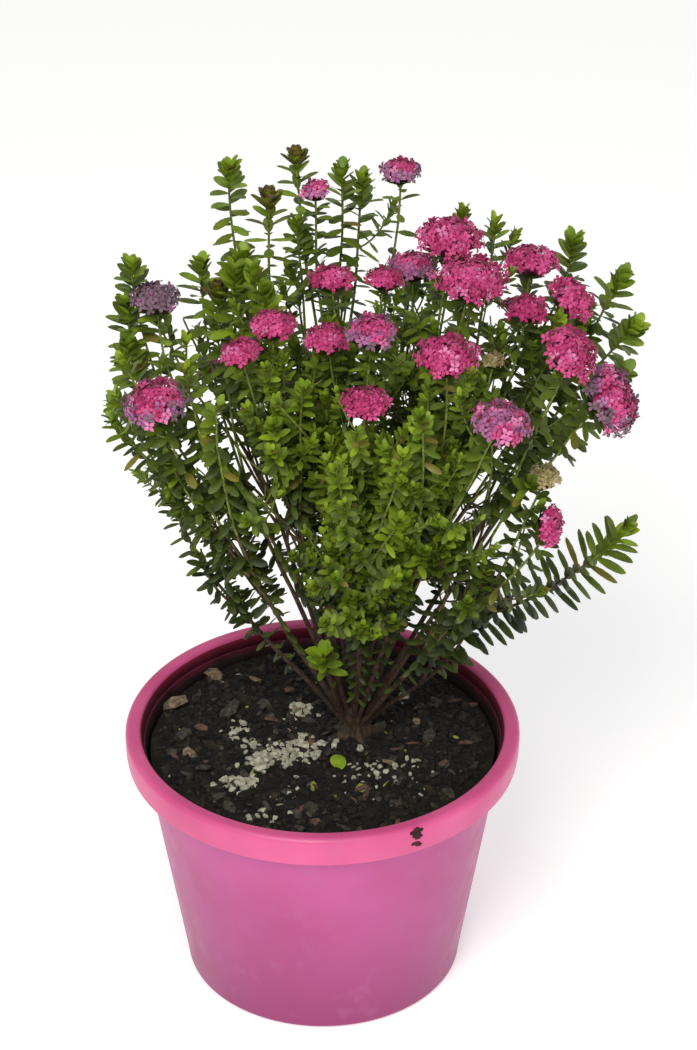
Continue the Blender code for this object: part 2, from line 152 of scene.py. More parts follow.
def moulded_polypropylene(name, dark, light, worn, foot):
    """Injection-moulded polypropylene: satin, faintly orange-peeled, with dull scuffed patches.

    It deepens to the foot colour from the rim down: a painted shade, darker towards the foot.
    """
    made, tree, shader, place = new_material(name, 0.42, 1.49)
    base = mottled(tree, place, dark, light, 45 * MM, 2.0)
    height = add_node(tree, "ShaderNodeSeparateXYZ", {"Vector": place}).outputs["Z"]
    # painted shade: the colour deepens towards the foot colour lower down the pot
    base = blend_colours(tree, remapped(tree, height, COLLAR_FOOT, 0.0), base, linear(foot))
    scuffs = grain(tree, place, 9 * MM, 6.0)
    worn_share = remapped(tree, scuffs, 0.58, 0.78, to_high=0.35)
    tree.links.new(blend_colours(tree, worn_share, base, linear(worn)), shader.inputs["Base Color"])
    tree.links.new(remapped(tree, scuffs, 0.3, 0.8, 0.34, 0.5), shader.inputs["Roughness"])
    add_bump(tree, shader, grain(tree, place, 0.8 * MM, 2.0), 0.05 * MM, 0.35)
    return made


def stained_and_shaded(name, shaded_clean, shaded_dirty):
    """The same plastic inside the pot, stained and in painted shade: crimson under the lip, black with wet
    mix and deeper painted shade lower down.
    """
    made, tree, shader, place = new_material(name, 0.6, 1.49)
    height = add_node(tree, "ShaderNodeSeparateXYZ", {"Vector": place}).outputs["Z"]
    inputs = {0: grain(tree, place, 12 * MM, 4.0), 1: 6 * MM, 2: height}
    ragged = add_node(tree, "ShaderNodeMath", inputs, operation="MULTIPLY_ADD").outputs["Value"]
    # painted shade: darker from just under the lip down into the pot
    share = remapped(tree, ragged, POT_TOP - 4.5 * MM, POT_TOP + 2.5 * MM)
    ramp = add_node(tree, "ShaderNodeValToRGB", {"Fac": share})
    ramp.color_ramp.elements[0].color = linear(shaded_dirty)
    ramp.color_ramp.elements[1].color = linear(shaded_clean)
    tree.links.new(ramp.outputs["Color"], shader.inputs["Base Color"])
    add_bump(tree, shader, grain(tree, place, 1.2 * MM, 3.0), 0.2 * MM, 0.6)
    return made


def damp_soil(name, dark, light, crumb_size, roughness):
    """Composted bark and peat: matt, damp, broken into crumbs of two browns."""
    made, tree, shader, place = two_toned(name, roughness, 1.4, dark, light, crumb_size, 4.0, 0.42, 0.66)
    add_bump(tree, shader, grain(tree, place, 0.7 * MM, 4.0), 0.5 * MM, 0.9)
    return made


def thin_bark(name, dark, light):
    """Young bark: matt, with fine lengthwise cracks a fraction of a millimetre apart."""
    made, tree, shader, place = two_toned(name, 0.72, 1.45, dark, light, 2.2 * MM, 5.0)
    stretched = add_node(tree, "ShaderNodeMapping", {"Vector": place, "Scale": (1.0, 1.0, 0.22)})
    add_bump(tree, shader, grain(tree, stretched.outputs["Vector"], 0.5 * MM, 4.0), 0.25 * MM, 0.9)
    return made


def living_leaf(name, dark, light):
    """A small leathery leaf: cuticle gloss over a green that drifts a little along the shoot."""
    made, tree, shader, place = two_toned(name, 0.52, 1.45, dark, light, 7 * MM, 2.0)
    add_bump(tree, shader, grain(tree, place, 0.9 * MM, 2.0), 0.12 * MM, 0.5)
    return made


def petal(name, dark, light):
    """A thin fleshy floret lobe: matt with a velvet edge light."""
    made, _, shader, _ = two_toned(name, 0.62, 1.4, dark, light, 2.4 * MM, 3.0)
    shader.inputs["Sheen Weight"].default_value = 0.25
    shader.inputs["Sheen Roughness"].default_value = 0.4
    return made


def chip_stone(name, dark, light):
    """Dry grit, perlite and bark chips in the mix: matt and dusty."""
    made, tree, shader, place = two_toned(name, 0.85, 1.45, dark, light, 1.8 * MM, 4.0)
    add_bump(tree, shader, grain(tree, place, 0.5 * MM, 3.0), 0.3 * MM, 0.8)
    return made


# Every material: what makes it, its name, and the colours and sizes that the maker asks for.
MATERIAL_ROWS = (
    # The last colour of each pot row is the painted shade that its lower part deepens to.
    (moulded_polypropylene, "collar_polypropylene", "CA4880", "DC5C92", "C06A90", "C0406E"),
    (moulded_polypropylene, "body_polypropylene", "B84684", "C6549A", "AE6896", "922E68"),
    (stained_and_shaded, "stained_polypropylene", "821B36", "1C090B"),
    (damp_soil, "soil_bed", "100E0B", "25211A", 4 * MM, 0.93),
    (damp_soil, "soil_crumb_dark", "0F0D0A", "211C16", 3 * MM, 0.9),
    (damp_soil, "soil_crumb_brown", "221C15", "3A3025", 3 * MM, 0.9),
    (chip_stone, "perlite", "86836F", "C2BEAC"),
    (chip_stone, "bark_chip_tan", "5A4836", "94826A"),
    (chip_stone, "bark_chip_red", "44302A", "6E5042"),
    (chip_stone, "bark_chip_grey", "26241E", "4A443A"),
    (chip_stone, "moss_bit", "4F5A1E", "96A04A"),
    (damp_soil, "dried_mud", "2E1216", "5A2030", 2 * MM, 0.85),
    (thin_bark, "crown_bark", "221811", "48351F"),
    (thin_bark, "stem_brown", "2B2018", "50392A"),
    (thin_bark, "stem_olive", "3C331E", "62552E"),
    (thin_bark, "stem_green", "566420", "848E3C"),
    (living_leaf, "leaf_lime", "647E14", "8EA626"),
    (living_leaf, "leaf_young", "526610", "70821C"),
    (living_leaf, "leaf_mid", "425410", "5E6E1C"),
    (living_leaf, "leaf_dark", "303C0C", "485418"),
    # The deepest green is painted shade, for leaves deep inside the crown.
    (living_leaf, "leaf_deep", "1F2A09", "303C10"),
    (living_leaf, "leaf_olive", "5A5A1A", "7C7428"),
    (petal, "petal_pink", "B83470", "D2508A"),
    (petal, "petal_magenta", "981E54", "B82E6C"),
    (petal, "petal_light", "C85E96", "DC86B0"),
    (petal, "petal_lilac", "8E4A7A", "AC6E98"),
    (petal, "petal_faded", "624A54", "86687A"),
    (petal, "dry_bract", "8A7A48", "B8A878"),
    (petal, "bud_bract", "4E4A20", "7A5A3C"),
)
MATERIALS = {}
for make_material, material_name, *looks in MATERIAL_ROWS:
    MATERIALS[material_name] = make_material(material_name, *looks)


# ---- small mesh helpers
def new_object(name, data):
    """Make an object of some data and put it in the scene."""
    made = bpy.data.objects.new(name, data)
    bpy.context.scene.collection.objects.link(made)
    return made


def start_shape(add, **settings):
    """Add a plain shape, with nothing else selected and its place taken into its mesh."""
    bpy.ops.object.select_all(action="DESELECT")
    add(**settings)
    bpy.ops.object.transform_apply(location=True)
    return bpy.context.object


def finish_edit():
    """Turn every face of the edited mesh outward and leave edit mode."""
    bpy.ops.mesh.select_all(action="SELECT")
    bpy.ops.mesh.normals_make_consistent(inside=False)
    bpy.ops.object.mode_set(mode="OBJECT")


def dress(piece, name, material, slot, *replaced):
    """Name a finished piece, give it its material, hang it on the root body, and hide the parts it
    replaces; the slot is not used.
    """
    piece.name = name
    piece.data.name = name
    piece.data.materials.clear()
    piece.data.materials.append(MATERIALS[material])
    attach(piece, "root")
    if replaced:
        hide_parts(*replaced)


class Heap:
    """Vertices and faces of many small things of one kind, joined into one mesh."""

    def __init__(self):
        self.places = []
        self.faces = []
        self.count = 0

    def add(self, places, faces):
        """Add one shape: its places as rows, its faces as index rows."""
        self.places.append(places)
        self.faces.append(faces + self.count)
        self.count += len(places)

    def build(self, smooth=True):
        """Make the joined mesh object."""
        mesh = bpy.data.meshes.new("heap")
        places = np.concatenate(self.places)
        faces = [tuple(face) for block in self.faces for face in block.tolist()]
        mesh.from_pydata(places.tolist(), [], faces)
        if smooth:
            mesh.shade_smooth()
        return new_object("heap", mesh)


def frame_of(outward, normal):
    """Rows that turn x along outward, z along normal and y across."""
    x = outward.normalized()
    y = normal.cross(x).normalized()
    z = x.cross(y)
    return np.array((x, y, z))


# ---- pot
def arc(centre, radius, start, end, steps):
    """Points of an arc in the (radius, height) plane, from start to end in degrees."""
    points = []
    for step in range(steps + 1):
        angle = math.radians(start + (end - start) * step / steps)
        points.append((centre[0] + radius * math.cos(angle), centre[1] + radius * math.sin(angle)))
    return points


def turned_by_hand(profile):
    """Grow a turned surface from a circle: each ring is extruded up or down and resized."""
    radius, height = profile[0]
    thing = start_shape(
        bpy.ops.mesh.primitive_circle_add, vertices=TURN_STEPS, radius=radius, location=(0, 0, height))
    bpy.ops.object.mode_set(mode="EDIT")
    for ring in profile[1:]:
        bpy.ops.mesh.extrude_region_move(TRANSFORM_OT_translate={"value": (0, 0, ring[1] - height)})
        ratio = ring[0] / radius
        bpy.ops.transform.resize(value=(ratio, ratio, 1), center_override=(0, 0, ring[1]))
        radius, height = ring
    finish_edit()
    bpy.ops.object.shade_smooth_by_angle(angle=math.radians(32))
    return thing


def make_collar():
    """The rolled lip and skirt, a warmer pink than the body, moulded as one ring."""
    lip = 1.3 * MM
    crest = 2.2 * MM
    hem = 0.8 * MM
    skirt = 2.0 * MM
    seat = (MOUTH_RADIUS - 1.15 * MM, POT_TOP - 5.0 * MM)
    profile = [seat]
    profile += arc((MOUTH_RADIUS + lip, POT_TOP - lip), lip, 180, 95, 5)
    profile += arc((RIM_RADIUS - crest, POT_TOP - crest), crest, 88, 12, 7)
    profile += [
        (RIM_RADIUS, POT_TOP - 4.0 * MM),
        (RIM_RADIUS - 0.15 * MM, POT_TOP - 8.0 * MM),
        (RIM_RADIUS - 0.5 * MM, COLLAR_FOOT + 1.0 * MM),
    ]
    profile += arc((RIM_RADIUS - 1.3 * MM, COLLAR_FOOT + hem), hem, 0, -90, 3)
    profile += [
        (RIM_RADIUS - skirt, COLLAR_FOOT),
        (RIM_RADIUS - skirt, POT_TOP - 4.0 * MM),
        (SHOULDER_RADIUS + 0.7 * MM, POT_TOP - 4.4 * MM),
        (SHOULDER_RADIUS + 0.7 * MM, POT_TOP - 5.0 * MM),
        seat,
    ]
    collar = turned_by_hand(profile)
    bpy.ops.object.mode_set(mode="EDIT")
    bpy.ops.mesh.select_all(action="SELECT")
    bpy.ops.mesh.remove_doubles(threshold=1e-5)
    finish_edit()
    dress(collar, "pot_collar", "collar_polypropylene", "pot", "pot")
    stain_and_shade_inside(collar)


def stain_and_shade_inside(shell):
    """Give the faces that look in at the soil, below the lip, the stained plastic with its painted shade.
    """
    shell.data.materials.append(MATERIALS["stained_polypropylene"])
    for face in shell.data.polygons:
        middle = face.center
        inward = -(middle.x * face.normal.x + middle.y * face.normal.y)
        below_lip = middle.z < POT_TOP - 1.2 * MM
        if below_lip and inward > 0.5 * middle.xy.length and middle.xy.length < MOUTH_RADIUS + 0.4 * MM:
            face.material_index = 1


def make_body():
    """The tapering wall, its rounded foot, and the floor, closed inside and out."""
    top = POT_TOP - 5.05 * MM
    hub = 0.4 * MM
    heel = 1.8 * MM
    profile = [
        (hub, FLOOR_THICKNESS),
        (18 * MM, FLOOR_THICKNESS),
        (FOOT_RADIUS - WALL, FLOOR_THICKNESS),
        (MOUTH_RADIUS - 1.2 * MM, top),
        (SHOULDER_RADIUS + 0.5 * MM, top),
        (SHOULDER_RADIUS, COLLAR_FOOT),
    ]
    for share in (0.2, 0.4, 0.6, 0.8):
        radius = SHOULDER_RADIUS + (FOOT_RADIUS - SHOULDER_RADIUS) * share
        profile.append((radius, COLLAR_FOOT + (2.2 * MM - COLLAR_FOOT) * share))
    profile += arc((FOOT_RADIUS - heel, heel), heel, 5, -90, 6)
    profile += [(FOOT_RADIUS - 5.0 * MM, 0.0), (20 * MM, 0.0), (hub, 0.0)]
    body = turned_by_hand(profile)
    bpy.ops.object.mode_set(mode="EDIT")
    bpy.ops.mesh.select_all(action="DESELECT")
    bpy.ops.mesh.select_mode(type="EDGE")
    bpy.ops.mesh.select_non_manifold()
    bpy.ops.mesh.edge_face_add()
    finish_edit()
    dress(body, "pot_body", "body_polypropylene", "pot", "pot")
    stain_and_shade_inside(body)


# ---- soil
def soil_height(x, y):
    """Height of the soil's crust: low mounds, a dip at the wall, and crumbs."""
    place = Vector((x, y, 0.0))
    mounds = noise.noise(place / (19 * MM)) * 0.9 * MM
    crumbs = noise.noise(place / (3.1 * MM) + Vector((7, 3, 1))) * 0.7 * MM
    flat_share = 0.72
    edge = max(0.0, math.hypot(x, y) / SOIL_RADIUS - flat_share) / 0.28
    return SOIL_TOP - 0.9 * MM + mounds + crumbs - edge * edge * 1.3 * MM


def make_soil_bed():
    """The plug of mix: a turned body whose top's points are raised and lowered one by one."""
    base = FLOOR_THICKNESS + 0.3 * MM
    rings = 34
    profile = [(0.3 * MM, base), (FOOT_RADIUS - WALL - 0.4 * MM, base), (SOIL_RADIUS, SOIL_TOP - 3 * MM)]
    for ring in range(rings):
        profile.append((SOIL_RADIUS - (SOIL_RADIUS - 0.5 * MM) * ring / (rings - 1), SOIL_TOP))
    bed = turned_by_hand(profile)
    for vertex in bed.data.vertices:
        if vertex.co.z > SOIL_TOP - 1 * MM:
            vertex.co.z = soil_height(vertex.co.x, vertex.co.y)
    sheet = bmesh.new()
    sheet.from_mesh(bed.data)
    bmesh.ops.holes_fill(sheet, edges=sheet.edges, sides=TURN_STEPS)
    bmesh.ops.recalc_face_normals(sheet, faces=sheet.faces)
    sheet.to_mesh(bed.data)
    sheet.free()
    dress(bed, "soil_bed", "soil_bed", "potting_mix", "potting_mix")


def lump_template():
    """A twenty-faced pebble of radius one."""
    sheet = bmesh.new()
    bmesh.ops.create_icosphere(sheet, subdivisions=1, radius=1.0)
    places = np.array([vertex.co[:] for vertex in sheet.verts])
    faces = np.array([[vertex.index for vertex in face.verts] for face in sheet.faces])
    sheet.free()
    return places, faces


LUMP_PLACES, LUMP_FACES = lump_template()


def add_lump(heap, x, y, size, flatness, length, rng, lift=0.15):
    """Drop one rough lump on the soil, turned and dented at random."""
    dents = np.array([[rng.uniform(0.7, 1.15)] for _ in LUMP_PLACES])
    shape = LUMP_PLACES * dents * (size / 2 * length, size / 2, size / 2 * flatness)
    turn = Matrix.Rotation(rng.uniform(0, ANY_TURN), 3, "Z") @ Matrix.Rotation(rng.gauss(0, 0.35), 3, "X")
    turn = turn @ Matrix.Rotation(rng.gauss(0, 0.35), 3, "Y")
    height = soil_height(x, y) + size * flatness * lift
    heap.add(shape @ np.array(turn).T + np.array((x, y, height)), LUMP_FACES)


def on_soil(rng):
    """A random place on the soil, clear of the wall."""
    radius = SOIL_RADIUS * 0.965 * math.sqrt(rng.random())
    turn = rng.uniform(0, 2 * math.pi)
    return radius * math.cos(turn), radius * math.sin(turn)


# Patches of perlite on the soil: middle in millimetres, spread, how many, size.
PERLITE_PATCHES = (
    ((-7, -4), 4.6, 52, 2.7), ((-14, -8), 4.0, 26, 2.4), ((-20, -13), 4.6, 56, 3.0),
    ((-25, -3), 4.0, 16, 2.4), ((-30, 7), 3.4, 20, 2.4), ((-29, -27), 3.0, 34, 2.9),
    ((-9, 18), 3.4, 18, 2.6), ((24, -15), 5.0, 26, 2.2), ((11, -19), 4.6, 12, 1.7),
    ((14, -29), 4.6, 10, 1.7), ((-22, -46), 3.0, 7, 2.0), ((-14, -46), 3.0, 5, 1.8),
    ((29, 27), 2.0, 4, 2.8), ((-12, -30), 6.0, 9, 1.6), ((34, -24), 6.0, 8, 1.5))
# Larger chips: middle in millimetres, size, how much longer than wide, flatness.
LARGER_CHIPS = {
    "bark_chip_tan": (
        ((-54, 23), 9.5, 1.3, 0.5), ((-40, 43), 7.5, 1.5, 0.5), ((-10, 19), 4.6, 1.6, 0.45),
        ((24, -13), 4.2, 1.8, 0.4), ((29, 27), 5.2, 1.2, 0.55), ((-47, -8), 5.0, 1.6, 0.4),
        ((-25, 38), 5.5, 1.7, 0.4), ((-13, 6), 3.6, 1.5, 0.4), ((34, 12), 3.6, 1.6, 0.4)),
    "bark_chip_red": (
        ((51, -2), 4.6, 1.6, 0.5), ((47, 25), 4.2, 2.2, 0.45), ((-12, 32), 5.0, 2.0, 0.4),
        ((42, -16), 3.6, 1.5, 0.5), ((-44, 8), 4.4, 1.6, 0.5)),
    "bark_chip_grey": (
        ((-34, 17), 7.0, 1.8, 0.4), ((-42, -18), 6.0, 1.7, 0.45), ((-50, 4), 6.5, 1.4, 0.45),
        ((20, 8), 5.0, 1.8, 0.4), ((38, 2), 6.0, 1.5, 0.4), ((-4, -42), 5.5, 1.7, 0.4),
        ((26, -38), 5.0, 1.6, 0.45), ((-22, 22), 6.0, 1.7, 0.4), ((8, -52), 4.6, 1.9, 0.4),
        ((44, -32), 4.6, 1.5, 0.4), ((-32, -40), 5.0, 1.6, 0.4), ((12, 30), 6.0, 1.6, 0.4)),
    "moss_bit": (
        ((-3, -28), 3.8, 1.5, 0.3), ((14, -30), 3.4, 1.8, 0.3), ((-14, -12), 2.6, 1.5, 0.3),
        ((5, -33), 2.4, 1.6, 0.3), ((22, -27), 2.4, 1.9, 0.3), ((-24, -20), 2.4, 1.7, 0.3)),
}
# Small bits strewn all over: how many, their kinds, and their smallest and largest size.
STREWN_BITS = (
    (150, ("bark_chip_grey",) * 3 + ("bark_chip_red", "soil_crumb_brown"), 1.4, 4.2),
    (46, ("moss_bit", "perlite"), 0.8, 1.9))
CRUMB_COUNT = 3400
LITTER_KINDS = (
    "soil_crumb_dark", "soil_crumb_brown", "perlite", "bark_chip_tan", "bark_chip_red",
    "bark_chip_grey", "moss_bit")


def make_soil_litter():
    """Crumbs of bark and peat all over, grit in patches, a few larger chips."""
    rng = random.Random(SEED)
    heaps = {kind: Heap() for kind in LITTER_KINDS}
    for _ in range(CRUMB_COUNT):
        x, y = on_soil(rng)
        kind = "soil_crumb_dark" if rng.random() < 0.66 else "soil_crumb_brown"
        size = rng.uniform(0.9, 2.6) * MM * (1.7 if rng.random() < 0.06 else 1.0)
        add_lump(heaps[kind], x, y, size, rng.uniform(0.45, 0.9), rng.uniform(1.0, 1.9), rng)
    for middle, spread, count, size in PERLITE_PATCHES:
        for _ in range(count):
            x = (middle[0] + rng.gauss(0, spread)) * MM
            y = (middle[1] + rng.gauss(0, spread * 0.8)) * MM
            if math.hypot(x, y) < SOIL_RADIUS * 0.95:
                bit = size * MM * rng.uniform(0.45, 1.35)
                add_lump(heaps["perlite"], x, y, bit, rng.uniform(0.5, 0.9), rng.uniform(1, 1.5), rng, 0.3)
    for kind, chips in LARGER_CHIPS.items():
        for (x, y), size, length, flatness in chips:
            add_lump(heaps[kind], x * MM, y * MM, size * MM, flatness, length, rng, 0.35)
    for count, kinds, smallest, largest in STREWN_BITS:
        for _ in range(count):
            x, y = on_soil(rng)
            heap = heaps[rng.choice(kinds)]
            size = rng.uniform(smallest, largest) * MM
            add_lump(heap, x, y, size, 0.4, rng.uniform(1.2, 2.4), rng, 0.3)
    for kind, heap in heaps.items():
        dress(heap.build(smooth=False), "litter_" + kind, kind, "potting_mix", "potting_mix")


# Specks of dried mix on the collar: degrees round the pot, height, size, lengthening.
SMEARS = (
    (-62.5, 95.0, 4.2, 1.0), (-61.9, 93.8, 3.4, 1.1), (-62.9, 91.2, 2.2, 2.0), (-61.8, 90.4, 1.8, 1.7),
    (-63.9, 95.8, 2.2, 1.2), (-61.0, 96.2, 2.0, 1.2), (-62.5, 96.8, 2.6, 1.2))


def make_smear():
    """Thin flakes of mix dried on the outside of the collar."""
    rng = random.Random(SEED + 5)
    half_thickness = 0.35 * MM
    heap = Heap()
    for degrees, height, size, length in SMEARS:
        turn = math.radians(degrees)
        out = Vector((math.cos(turn), math.sin(turn), 0.0))
        rows = frame_of(Vector((-math.sin(turn), math.cos(turn), 0.0)), out)
        dents = np.array([[rng.uniform(0.75, 1.15)] for _ in LUMP_PLACES])
        flake = LUMP_PLACES * dents * (size / 2 * length * MM, size / 2 * MM, half_thickness)
        seat = out * (RIM_RADIUS - 0.15 * MM) + Vector((0, 0, height * MM))
        heap.add(flake @ rows + np.array(seat), LUMP_FACES)
    dress(heap.build(), "collar_smear", "dried_mud", "potting_mix")


# ---- the shrub's plan
def ray(azimuth, lean):
    """Unit vector at an azimuth and a lean from the vertical, in degrees."""
    turn = math.radians(azimuth)
    tilt = math.radians(lean)
    return Vector((math.sin(tilt) * math.cos(turn), math.sin(tilt) * math.sin(turn), math.cos(tilt)))


def tip_of(azimuth, lean, reach, kind="leafy", width=0):
    """The tip of one main shoot: most are leafy, and then have no head to be any width."""
    return azimuth, lean, reach, kind, width


def mass(
        azimuth, lean, bough_end, *tips, bare=40, fill=3, sprigs=2, shade=0, lift=0.3, fork=0.25,
        leaf=1.0, comb=False):
    """What one mass grows: the ray of its bough (azimuth and lean in degrees), where the
    bough ends, and its main shoots, each an azimuth, a lean, a reach from the crown point,
    and perhaps a kind and a head's width.  Lengths are in millimetres.  Leaves begin at
    bare, fill is how many leafy shoots are fanned round the limb, sprigs is how many side
    shoots each shoot bears, shade is painted shade that darkens its leaves as if they were
    older, lift is how far the shoots turn upright, fork is how far up the limb the side shoots
    begin, leaf scales its leaves, and a comb mass has its limb's leaves in level rows.
    """
    return {
        "axis": ray(azimuth, lean), "bough_end": bough_end * MM, "tips": [tip_of(*tip) for tip in tips],
        "bare": bare * MM, "fill": fill, "sprigs": sprigs, "shade": shade, "lift": lift, "fork": fork,
        "leaf": leaf, "comb": comb}


MASSES = {
    "top_front": mass(
        -90, 8.5, 52, (-108.6, 9, 175, "fresh", 15), (-80.4, 10.9, 183, "ageing", 17),
        (-141, 3, 185, "fresh", 15), (-54, 5.2, 189, "deep", 13), (-120, 5, 172), (-70, 6, 168),
        (-115.7, 19.3, 172, "stalk"), (-70.2, 20.9, 161, "stalk"), bare=24, fill=8, sprigs=5, leaf=0.86),
    "top_right": mass(
        -8, 9.5, 54, (-7.3, 9, 201, "fresh", 23), (-29, 12.8, 197, "fresh", 24),
        (-6, 5.8, 188, "ageing", 17), (18.6, 10.7, 203), bare=34, fill=6, sprigs=3, shade=8),
    "top_rear_right": mass(
        50, 9, 56, (49.5, 11, 176), (38, 8, 168), fill=1, sprigs=1, shade=6),
    "top_rear": mass(
        112, 9.5, 56, (121, 10.1, 213, "bud", 8), (118, 7.7, 204, "ageing", 10), (97, 8.8, 208, "spire"),
        (86, 10.8, 203, "spire"), (128, 9.4, 192), (46, 6, 214, "lone", 14), fill=1, sprigs=1, lift=0.8),
    "top_left": mass(
        168, 10.5, 56, (155.4, 12, 217, "spire"), (157, 8.5, 206, "bud", 9), (178, 11, 192, "tuft"),
        (-172, 12, 190, "tuft"), bare=44, fill=1, sprigs=0, lift=1.35, fork=0.5),
    "front": mass(
        -87, 22.5, 42, (-86.5, 18.7, 175, "deep", 16), (-95, 24.8, 163), (-77, 27.4, 143), (-78, 25.3, 172),
        (-100, 20, 150), bare=16, fill=15, sprigs=6, leaf=0.84),
    "front_left": mass(
        -138, 14.5, 46, (-133, 12.1, 183, "fresh", 16), (-134, 16.9, 182, "fresh", 13),
        (-160.4, 10.5, 193, "tuft"), (-146, 10.6, 190, "tuft"), (-120, 19, 160), (-112, 15, 168),
        (-137, 24.1, 158, "combed"), bare=22, fill=8, sprigs=4, fork=0.6, leaf=0.88),
    "front_right": mass(
        -57, 22.5, 44, (-60, 18.1, 189, "fresh", 21), (-55, 26.2, 183, "lilac", 19.5), (-74, 23.8, 185),
        (-66, 20, 165), bare=20, fill=10, sprigs=5, leaf=0.86),
    "left": mass(
        -177, 20, 50, (-174.7, 20.2, 189, "faded", 17), (-179, 21.4, 200, "spire"),
        (-177, 23.4, 189, "spire"), (-173, 25, 178, "spire"), (166.9, 16.1, 188, "spire"),
        (-178.7, 14.3, 182, "bud", 8), (-170, 19, 172), bare=74, fill=0, sprigs=0, lift=1, fork=0.6),
    "left_front": mass(
        -148, 27, 44, (-143, 26.3, 180, "ageing", 22), (-157.5, 25.9, 186), (-154, 30.2, 173),
        (-143.6, 21.8, 181), (-160, 29, 172), (-127.7, 23.4, 180), (-150, 28, 150), bare=36, fill=0,
        sprigs=1, shade=10, lift=0.2, comb=True),
    "left_low": mass(
        -168, 35, 36, (-168, 31, 124), (-160, 32, 104), (-160.5, 31, 80), (-152, 28, 112), bare=30, fill=0,
        sprigs=0, shade=20, leaf=0.88),
    "right_front": mass(
        -27, 27.5, 46, (-29, 30.5, 187, "leaning", 25), (-38, 25.5, 202, "tilted", 20), (-48, 22, 176),
        bare=122, fill=2, sprigs=0, shade=18, lift=0),
    "right_low": mass(
        -43, 34.5, 38, (-37.7, 30.3, 155, "dry", 11), (-40, 35.3, 145, "side", 15), (-50.5, 27.2, 130),
        (-43.8, 33, 112), (-44, 26, 104), bare=26, fill=0, shade=24, leaf=0.92),
    "right": mass(
        -12, 19.5, 50, (0, 17.3, 197, "fresh", 19), (-17.6, 18.3, 189, "deep", 14),
        (-7.9, 22, 193, "tilted", 18), (-29.8, 17.6, 173, "dry", 7), fill=6, sprigs=4, shade=18),
    "right_outer": mass(
        8, 28, 48, (6, 26.9, 198, "tuft"), (0, 29.7, 188, "tuft"), (14.5, 22.2, 200, "tuft"),
        (-3.6, 31, 174, "tuft"), (4, 25.5, 178, "tuft"), bare=124, fill=1, sprigs=1, shade=8, lift=0),
    "right_arching": mass(
        -8, 46, 34, (-6.6, 45.6, 131, "arching"), (-22, 32, 92), bare=26, fill=0, sprigs=1, shade=16,
        lift=0),
    "rear_right": mass(
        32, 20, 50, (27, 15.6, 197), (42, 29.3, 163, "fresh", 17), (24, 26, 182), (48.4, 21.1, 171),
        bare=60, fill=2, shade=8),
    "rear_right_outer": mass(
        68, 24, 46, (68, 27, 162), (59, 27.5, 140, "fresh", 18), (72, 31, 154), (72, 34, 132, "ageing", 17),
        (61.7, 22.9, 163), (70, 19.5, 162), bare=46),
    "rear": mass(
        105, 25, 44, (97, 27.5, 140, "fresh", 17), (110, 32, 158), (85, 27.5, 142, "lilac", 16),
        (104, 36, 128, "fresh", 18), (96, 31, 158), (93.5, 18, 160), (110, 20.9, 156), (92, 23.5, 157),
        bare=44),
    "rear_left": mass(
        145, 22.5, 46, (146, 26, 162), (160, 31, 137, "fresh", 16), (128, 33, 138, "ageing", 18),
        (154, 27, 168), (128, 21.8, 157), (139, 24.5, 155), bare=62, fill=2, fork=0.6),
    "rear_low_left": mass(
        152, 37, 36, (152, 37, 138), (158, 39, 112), (138, 37, 108), fill=2),
    "rear_low_right": mass(
        52, 38, 36, (52, 38, 134), (46, 36, 120), (58, 39, 116, "lilac", 17), fill=2),
}
BOUGH_NODES = ["bough_" + name for name in MASSES]
MASS_NODES = ["mass_" + name for name in MASSES]

BOUGH_FOOT_RADIUS = 1.15 * MM
STEM_TIP_RADIUS = 0.62 * MM
SHOOT_RADIUS = 0.58 * MM
SHOOT_TIP_RADIUS = 0.38 * MM
SPRIG_RADIUS = 0.38 * MM
HEAD_CLEAR = 7.0 * MM
NODE_SPACE = 3.4 * MM
LEAF_LENGTH = 6.7 * MM
LEAF_WIDTH = 2.85 * MM

# How far from the crown point the wood is brown and then olive, the leaves are small and then often given
# painted deep shade, and the painted shade ends as the full light begins.
BROWN_REACH = 58 * MM
OLIVE_REACH = 112 * MM
SMALL_LEAF_REACH = 52 * MM
SHADY_REACH = 100 * MM
SUNLIT_REACH = 128 * MM
# The age scores up to which a leaf is lime, young and mid green.
LIME_UNTIL = 9
YOUNG_UNTIL = 26
MID_UNTIL = 52

# Openings through the crown that the light shows in: where each crosses the plane y = 0,
# across and up in millimetres, and its radius.  All run on from one point far in front.
OPENINGS_FROM = Vector((9.0, -943.0, 747.0)) * MM
OPENINGS = (
    (-4, 262, 4.0), (10, 261, 3.0), (-46, 258, 3.0), (32, 264, 2.6), (41, 260, 3.0), (56, 261, 3.0),
    (78, 226, 3.0), (58, 235, 2.6), (29, 230, 2.6), (10, 222, 3.3), (-20, 227, 2.6), (-30, 213, 3.3),
    (-26, 206, 4.2), (-21, 196, 4.6), (-16, 186, 4.2), (-11, 175, 3.6), (-30, 172, 3.2), (-6, 146, 2.6),
    (-21, 153, 2.6), (-28, 158, 2.6), (55, 195, 5.0), (47, 185, 4.3), (56, 177, 3.6), (35, 156, 3.0),
    (43, 148, 2.6), (-41, 202, 2.6), (-45, 190, 2.3), (-36, 182, 2.4), (-40, 171, 2.0), (-35, 155, 1.8),
    (-48, 209, 2.0), (-32, 219, 2.3), (-37, 231, 2.0), (-53, 248, 1.8), (-49, 238, 1.8), (-43, 249, 1.6),
    (66, 202, 2.2), (71, 190, 2.2), (77, 203, 3.0), (60, 208, 2.0), (28, 248, 2.0), (64, 238, 1.8))


def in_opening(place):
    """Whether a place lies in one of the crown's openings."""
    for across, up, radius in OPENINGS:
        through = (Vector((across, 0.0, up)) * MM - OPENINGS_FROM).normalized()
        from_start = place - OPENINGS_FROM
        if (from_start - through * from_start.dot(through)).length < (radius + 1.0) * MM:
            return True
    return False


# ---- twigs
TWIGS = {"stem_brown": Heap(), "stem_olive": Heap(), "stem_green": Heap()}


